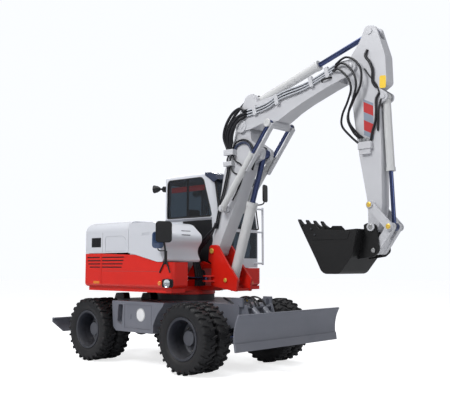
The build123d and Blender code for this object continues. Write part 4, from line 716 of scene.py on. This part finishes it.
# Boom and cylinders: box sections welded from plate, sprayed pale grey, on a red cast bracket that swings
# them aside. The cylinders' barrels are sprayed the same grey, and turned caps close the pins.
boom_white = coated("boom_paint", (0.55, 0.555, 0.58), 0.32, 0.05, coat=0.3)
cylinder_grey = coated("cylinder_paint", (0.58, 0.585, 0.585), 0.33, 0.05, coat=0.3)
gilt = coated("gilt_cap", (0.8, 0.55, 0.1), 0.35, 0.1, metallic=0.5)
bare_steel = coated("pin_steel", (0.5, 0.5, 0.5), 0.28, 0.1, metallic=0.9)
dress(red, "swing_bracket")
dress(boom_white, "lower_boom", "upper_boom", "arm", "rocker", "bucket_link")
dress(cylinder_grey, "lift_barrel", "adjust_barrels", "arm_barrel", "bucket_barrel", "swing_barrel")


def caps(x, z, y_out, radius, thick=0.007):
    """Turned caps on both ends of a pin, their rims chamfered and their middles sunk."""
    section = [(radius, 0.0), (radius, thick * 0.7), (radius * 0.9, thick), (radius * 0.45, thick),
               (radius * 0.38, thick * 0.6), (0.0, thick * 0.6)]
    return [lathe(section, 30, facing(at(x, side * y_out, z), 90 * side)) for side in (-1, 1)]


adjust_base, adjust_eye = Vector((1.021, 2.328)), Vector((1.922, 3.48))
cap_table = [
    ("foot_caps", 0.75, 1.704, 0.184, 0.04, gilt, "swing_bracket"),
    ("knee_caps", 1.335, 3.535, 0.172, 0.052, boom_white, "upper_boom"),
    ("arm_pin_caps", 3.195, 4.06, 0.142, 0.044, boom_white, "upper_boom"),
    ("rocker_caps", 3.453, 2.237, 0.16, 0.032, gilt, "arm"),
    ("link_caps", 3.711, 1.956, 0.156, 0.032, gilt, "rocker"),
    ("bucket_pin_caps", 3.474, 1.959, 0.17, 0.03, bare_steel, "arm"),
    ("link_low_caps", 3.502, 1.668, 0.16, 0.028, bare_steel, "bucket"),
    ("lift_base_caps", 1.03, 1.27, 0.184, 0.032, gilt, "swing_bracket"),
]
for name, x, z, y_out, radius, material, body in cap_table:
    new_piece(name, caps(x, z, y_out, radius), material, body, "chrome_rod", smooth=35)
eye_bosses = caps(*adjust_eye, y_out=0.272, radius=0.058, thick=0.018)
new_piece("rod_eye_bosses", eye_bosses, cylinder_grey, "adjust_rods", "boom_white", edge=0.003, smooth=40)
adjust_along = (adjust_eye - adjust_base).normalized()
adjust_front = Vector((adjust_along.y, -adjust_along.x))


def rod_guard(outs, downs, y_low, y_high):
    """A plate before the adjusting rod, between distances out from its line and down from its eye."""
    corners = ((outs[0], downs[0]), (outs[1], downs[0]), (outs[1], downs[1]), (outs[0], downs[1]))
    return side_plate([adjust_eye + adjust_front * out - adjust_along * down for out, down in corners],
                      y_low, y_high)


guards = []
for y in (-0.235, 0.235):
    guards.append(rod_guard((0.07, 0.088), (-0.02, 0.76), y - 0.038, y + 0.038))
    guards.append(rod_guard((0.03, 0.08), (-0.03, 0.03), y - 0.03, y + 0.03))
new_piece("rod_guards", guards, boom_white, "adjust_rods", "boom_white", edge=0.004, smooth=40)

# Pipes: steel pipes in clamps along the upper boom's right side, with two black hoses strapped under them
# that also serve as painted shade in the gaps between the pipes, and a black handle at the boom's head.
# Collars join them to the hoses at the knee.
pipe_paint = coated("pipe_paint", (0.5, 0.52, 0.56), 0.3, 0.05, coat=0.4)
hose_rubber = coated("hose_rubber", (0.007, 0.0074, 0.0105), 0.4, 0.15, grain=400, bump=0.0005, shine=0.4)
fitting_zinc = coated("zinc_fitting", (0.4, 0.41, 0.42), 0.35, 0.1, metallic=0.85)
pipe_lines = [(-0.186, (1.43, 3.735), (3.0, 4.118)), (-0.188, (1.43, 3.695), (2.99, 4.078)),
              (-0.188, (1.43, 3.655), (2.96, 4.036))]


def boom_route(line, back=0.0, inward=0.0, lower=0.0):
    """A pipe's route that bows up along the upper boom's side, or that of a hose strapped under it."""
    y, (x1, z1), (x2, z2) = line
    route = [(x1 - back, y, z1), (x1 + 0.4, y, z1 + 0.05), (2.1, y + 0.012, z1 + 0.16),
             (x2 - 0.45, y + 0.028, z2 - 0.15), (x2, y + 0.034, z2)]
    return [(x, y + inward, z - lower) for x, y, z in route]


def hose_piece(name, routes, radius, sides, spans, body):
    """Black rubber hoses of one thickness, on one body or on none."""
    hoses = [tube(route, radius, sides, spans=spans) for route in routes]
    return new_piece(name, hoses, hose_rubber, body, "tyre", smooth=60)


pipes = [tube(boom_route(line), 0.0115, 12, spans=6) for line in pipe_lines]
new_piece("boom_pipes", pipes, pipe_paint, "upper_boom", "boom_white", smooth=60)
# Partly painted shade: these two black hoses sit behind the gaps between the pipes and also stand for the
# shade there.
strapped = [boom_route(line, back=0.02, inward=0.006, lower=0.02) for line in pipe_lines[:2]]
hose_piece("boom_pipe_hoses_and_gap_shade", strapped, 0.0095, 10, 6, "upper_boom")
clamps = []
for x, z, y in ((1.62, 3.692, -0.165), (2.02, 3.782, -0.158), (2.6, 3.93, -0.135),
                (2.86, 4.01, -0.13)):
    tilted = turned(at(x, y - 0.016, z + 0.028), -13, "Y")
    clamps.append(cuboid((-0.03, 0.03), (-0.03, 0.02), (-0.075, 0.075), within(tilted)))
new_piece("pipe_clamps", clamps, boom_white, "upper_boom", "boom_white", edge=0.006, smooth=40)

# Knee hoses: five thick rubber hoses that loop from the pipes over the knee pin to a block on the lower
# boom, long enough for the boom's whole reach. Each is crimped into both its ends.
knee_hoses = [
    [(1.43, -0.186, 3.735), (1.33, -0.19, 3.79), (1.19, -0.195, 3.735), (1.06, -0.195, 3.58),
     (1.01, -0.19, 3.4), (1.075, -0.165, 3.19)],
    [(1.43, -0.188, 3.695), (1.31, -0.196, 3.675), (1.18, -0.205, 3.56), (1.105, -0.205, 3.4),
     (1.11, -0.175, 3.2)],
    [(1.43, -0.188, 3.655), (1.32, -0.215, 3.605), (1.215, -0.225, 3.48), (1.165, -0.215, 3.33),
     (1.16, -0.18, 3.17)],
    [(1.5, 0.06, 3.99), (1.34, 0.06, 3.9), (1.13, 0.04, 3.73), (1.01, 0.02, 3.54),
     (1.0, 0.0, 3.36), (1.09, -0.02, 3.18)],
    [(1.5, -0.06, 3.99), (1.31, -0.07, 3.88), (1.11, -0.09, 3.7), (0.99, -0.11, 3.5),
     (0.985, -0.12, 3.34), (1.08, -0.125, 3.15)],
]
for i, route in enumerate(knee_hoses):
    hose = hose_piece(f"knee_hose_{i}", [route], 0.022, 12, 8, None)
    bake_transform(hose)
collars = [[(1.385, y, z), (1.475, y, z + 0.012)] for y, (x, z), end in pipe_lines]
hose_piece("pipe_collars", collars, 0.0195, 12, 1, "upper_boom")
anchors = [cuboid((1.02, 1.21), (-0.215, -0.124), (3.12, 3.205)),
           cuboid((1.0, 1.17), (-0.2, -0.124), (2.96, 3.03))]
new_piece("hose_anchors", anchors, boom_white, "lower_boom", "boom_white", edge=0.008, smooth=40)

# Lower boom's hoses: one arched round the boom's head over a navy sleeve, and thinner ones that run down
# its right side to the foot.
navy_sleeve = coated("navy_sleeve", (0.03, 0.042, 0.085), 0.45, 0.1, grain=500)
head_arc = [(1.14, -0.15, 3.18), (1.215, -0.158, 3.29), (1.357, -0.16, 3.325), (1.49, -0.16, 3.275),
            (1.566, -0.158, 3.145), (1.58, -0.152, 3.0), (1.53, -0.14, 2.86)]
head_band = [(1.15, -0.14, 3.15), (1.235, -0.142, 3.255), (1.357, -0.142, 3.285), (1.46, -0.142, 3.24),
             (1.525, -0.142, 3.13), (1.54, -0.138, 3.0), (1.5, -0.132, 2.88)]
lower_runs = [
    [(1.06, -0.15, 2.96), (1.02, -0.15, 2.8), (0.96, -0.15, 2.6), (0.89, -0.148, 2.4),
     (0.83, -0.146, 2.2), (0.79, -0.14, 2.04)],
    [(1.1, -0.152, 2.96), (1.06, -0.152, 2.8), (1.0, -0.152, 2.6), (0.93, -0.15, 2.4),
     (0.87, -0.148, 2.2), (0.83, -0.14, 2.04)],
    [(1.15, -0.16, 3.13), (1.23, -0.17, 3.02), (1.33, -0.168, 2.96), (1.37, -0.16, 2.84),
     (1.32, -0.155, 2.7), (1.26, -0.15, 2.6)],
    [(1.12, -0.165, 2.97), (1.19, -0.18, 2.86), (1.29, -0.175, 2.8), (1.3, -0.165, 2.68),
     (1.22, -0.155, 2.54), (1.16, -0.17, 2.44)],
    [(1.08, -0.158, 3.13), (1.06, -0.172, 3.06), (1.07, -0.17, 2.99)],
    [(1.14, -0.158, 3.13), (1.13, -0.175, 3.06), (1.12, -0.17, 2.99)],
]
runs = [tube(head_arc, 0.014, 12, spans=6)] + [tube(route, 0.012, 10, spans=6) for route in lower_runs]
new_piece("lower_boom_hoses", runs, hose_rubber, "lower_boom", "tyre", smooth=60)
new_piece("head_sleeve", [tube(head_band, 0.019, 12, spans=6)], navy_sleeve, "lower_boom", "tyre", smooth=60)

# Foot hoses: five strands side by side from the upper body up through the swing bracket to the lower
# boom. They are made in two lengths that meet, each across one joint.
strand_count, strand_pitch = 5, 0.036
upper_strands, lower_strands = [], []
for i in range(strand_count):
    out = strand_pitch * i
    meeting = (0.56 - 0.014 * i, -0.205 + out, 1.85 - 0.006 * i)
    upper_strands.append([(0.845 - 0.022 * i, -0.16 + 0.4 * out, 2.12),
                          (0.76 - 0.02 * i, -0.18 + 0.7 * out, 2.02),
                          (0.66 - 0.016 * i, -0.195 + out, 1.93), meeting])
    lower_strands.append([meeting, (0.45 - 0.012 * i, -0.21 + out, 1.745),
                          (0.392 - 0.01 * i, -0.212 + out, 1.62), (0.41, -0.215 + out, 1.48),
                          (0.45 + 0.01 * i, -0.22 + out, 1.34), (0.44 + 0.01 * i, -0.215 + out, 1.175)])
for label, strands, bodies, start, end in (
        ("upper", upper_strands, ("swing_bracket", "lower_boom"), at(0.6, 0, 1.88), at(0.8, 0, 2.06)),
        ("lower", lower_strands, ("upper", "swing_bracket"), at(0.41, 0, 1.55), at(0.545, 0, 1.83))):
    piece = hose_piece(f"foot_hoses_{label}", strands, 0.02, 12, 8, None)
    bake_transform(piece)

# Deck: a cast valve block bolted to the chassis before the slewing ring, steel brackets behind the blade,
# and short rubber hoses with gilt fittings that run from the block over the front edge.
deck_blocks = [cuboid((1.06, 1.23), (-0.15, 0.13), (0.93, 0.985)),
               cuboid((1.09, 1.2), (-0.12, -0.02), (0.98, 1.012))]
deck_blocks += twins((1.34, 1.5), (0.305, 0.335), (0.9, 1.03))
deck_blocks += twins((1.385, 1.455), (0.235, 0.31), (0.905, 1.005))
new_piece("deck_valve_and_brackets", deck_blocks, slate, "chassis", "chassis_grey", edge=0.006, smooth=40)
deck_routes = [
    [(1.215, -0.125, 0.965), (1.28, -0.13, 1.015), (1.38, -0.15, 1.03), (1.48, -0.17, 0.985),
     (1.53, -0.18, 0.905)],
    [(1.215, -0.07, 0.965), (1.29, -0.07, 1.02), (1.39, -0.075, 1.032), (1.49, -0.085, 0.99),
     (1.545, -0.09, 0.905)],
    [(1.215, 0.0, 0.965), (1.28, 0.01, 1.012), (1.37, 0.02, 1.02), (1.46, 0.01, 0.98),
     (1.53, 0.0, 0.905)],
    [(1.215, 0.07, 0.965), (1.285, 0.085, 1.018), (1.38, 0.105, 1.026), (1.48, 0.12, 0.985),
     (1.54, 0.125, 0.905)],
    [(1.075, -0.14, 0.965), (1.03, -0.2, 1.005), (1.09, -0.26, 1.015), (1.21, -0.275, 0.975),
     (1.3, -0.27, 0.915)],
    [(1.075, 0.12, 0.965), (1.03, 0.18, 1.005), (1.09, 0.25, 1.015), (1.21, 0.265, 0.975),
     (1.3, 0.265, 0.915)],
]
hose_piece("deck_hoses", deck_routes, 0.013, 10, 6, "chassis")
deck_ends = [tube([(1.2, y, 0.965), (1.236, y, 0.975)], 0.018, 6) for y in (-0.125, -0.07, 0.0, 0.07)]
new_piece("deck_fittings", deck_ends, gilt, "chassis", "chrome_rod")

# Arm: a slim box section with a hazard panel in red and pale grey on each side, a plain yellow label,
# hoses that loop from the boom's head down to a manifold, and others up its back to the cylinder.
hazard_red = coated("hazard_red", (0.48, 0.016, 0.018), 0.45, 0.05)
hazard_grey = coated("hazard_grey", (0.24, 0.28, 0.35), 0.45, 0.05)
label_yellow = coated("label_yellow", (0.85, 0.56, 0.02), 0.4, 0.04)
arm_half = 0.09
panel_back, panel_front, panel_top, stripe_drop = 3.366, 3.505, 3.6, 0.075
for material, stripe_rows in ((hazard_red, ((0.035, 0.165), (0.27, 0.4))),
                              (hazard_grey, ((0.0, 0.035), (0.165, 0.27), (0.4, 0.465)))):
    stripes = []
    for start, stop in stripe_rows:
        line = [(panel_back, panel_top - start), (panel_front, panel_top - start - stripe_drop),
                (panel_front, panel_top - stop - stripe_drop), (panel_back, panel_top - stop)]
        stripes += [side_plate(line, *span(arm_half - 0.001, arm_half + 0.0015, side)) for side in (-1, 1)]
    new_piece(material.name + "_stripes", stripes, material, "arm", "body_red")
label_line = rounded([(3.6, 3.7, 0.02), (3.69, 3.69, 0.02), (3.695, 3.85, 0.02), (3.605, 3.86, 0.02)])
label_plate = side_plate(label_line, -arm_half - 0.0015, -arm_half + 0.001)
new_piece("plain_label", [label_plate], label_yellow, "arm", "body_white")
manifold = [cuboid((3.3, 3.49), (-0.15, -arm_half + 0.002), (2.945, 3.04)),
            cuboid((3.33, 3.47), (-0.135, -arm_half + 0.002), (2.88, 2.95))]
new_piece("arm_manifold", manifold, boom_white, "arm", "boom_white", edge=0.008, smooth=40)
fitting_ends = [tube([(x, -0.128, 3.035), (x, -0.128, 3.085)], 0.019, 6) for x in (3.335, 3.385, 3.435)]
new_piece("manifold_fittings", fitting_ends, fitting_zinc, "arm", "chrome_rod")
arm_loops = [
    [(2.995, -0.152, 4.117), (3.1, -0.165, 4.165), (3.2, -0.185, 4.165), (3.32, -0.19, 4.09),
     (3.4, -0.19, 3.95), (3.385, -0.19, 3.76), (3.275, -0.19, 3.57), (3.185, -0.185, 3.37),
     (3.25, -0.16, 3.18), (3.335, -0.128, 3.08)],
    [(2.985, -0.154, 4.077), (3.09, -0.19, 4.105), (3.19, -0.22, 4.065), (3.295, -0.225, 3.95),
     (3.345, -0.225, 3.79), (3.3, -0.22, 3.61), (3.22, -0.21, 3.44), (3.215, -0.19, 3.3),
     (3.3, -0.15, 3.16), (3.385, -0.128, 3.08)],
    [(2.955, -0.154, 4.035), (3.06, -0.205, 4.035), (3.15, -0.235, 3.97), (3.24, -0.235, 3.86),
     (3.275, -0.235, 3.72), (3.215, -0.23, 3.56), (3.13, -0.22, 3.41), (3.11, -0.2, 3.27),
     (3.22, -0.165, 3.12), (3.33, -0.13, 3.01)],
]
for i, route in enumerate(arm_loops):
    hose = hose_piece(f"arm_hose_{i}", [route], 0.0145, 12, 8, None)
    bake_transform(hose)
back_runs = [
    (0.018, [(3.445, -0.1, 4.23), (3.42, -0.112, 4.15), (3.48, -0.118, 4.06), (3.52, -0.116, 3.94),
             (3.515, -0.108, 3.8), (3.56, -0.1, 3.72)]),
    (0.009, [(3.395, -0.1, 3.99), (3.47, -0.104, 3.88), (3.56, -0.104, 3.76), (3.6, -0.098, 3.64)]),
    (0.016, [(3.6, -0.098, 3.64), (3.56, -0.112, 3.56), (3.56, -0.116, 3.42), (3.545, -0.114, 3.28),
             (3.5, -0.112, 3.16), (3.47, -0.11, 3.03)]),
    (0.012, [(3.62, -0.096, 3.56), (3.6, -0.112, 3.44), (3.585, -0.112, 3.3), (3.57, -0.1, 3.16)]),
]
backs = [tube(route, radius, 10, spans=6) for radius, route in back_runs]
new_piece("arm_back_hoses", backs, hose_rubber, "arm", "tyre", smooth=60)
handle_route = [(2.76, -0.128, 3.93), (2.775, -0.165, 3.945), (2.9, -0.165, 3.955),
                (2.915, -0.128, 3.965)]
new_piece("boom_handle", [tube(handle_route, 0.01, 10)], black_plastic, "upper_boom", "black_plastic",
          smooth=60)

# Bucket: wear-resistant plate in satin black, with cast teeth bolted to its lip and a cutter on each side.
# A doubling plate runs along the top of each cheek.
bucket_black = coated("bucket_paint", (0.0085, 0.0085, 0.009), 0.5, 0.2, dust=0.0, shine=0.3)
dress(bucket_black, "bucket")
bucket_half, doubler_thick = 0.315, 0.006
doubler = [(2.64, 1.905), (2.7, 1.812), (3.235, 1.812), (3.27, 1.9), (3.15, 1.922), (2.815, 1.945),
           (2.748, 2.012), (2.64, 2.018)]
doublers = [side_plate(doubler, *span(bucket_half - 0.001, bucket_half + doubler_thick, side))
            for side in (-1, 1)]
new_piece("bucket_doublers", doublers, bucket_black, "bucket", "bucket_black", edge=0.0015)
bolts = [lathe([(0.017, 0.0), (0.017, 0.01), (0.013, 0.013), (0.0, 0.013)], 6,
               facing(at(x, side * (bucket_half + doubler_thick), z), 90 * side))
         for side in (-1, 1) for x, z in ((2.69, 1.955), (2.745, 1.88))]
new_piece("bucket_bolts", bolts, dark_steel, "bucket", "bucket_black")
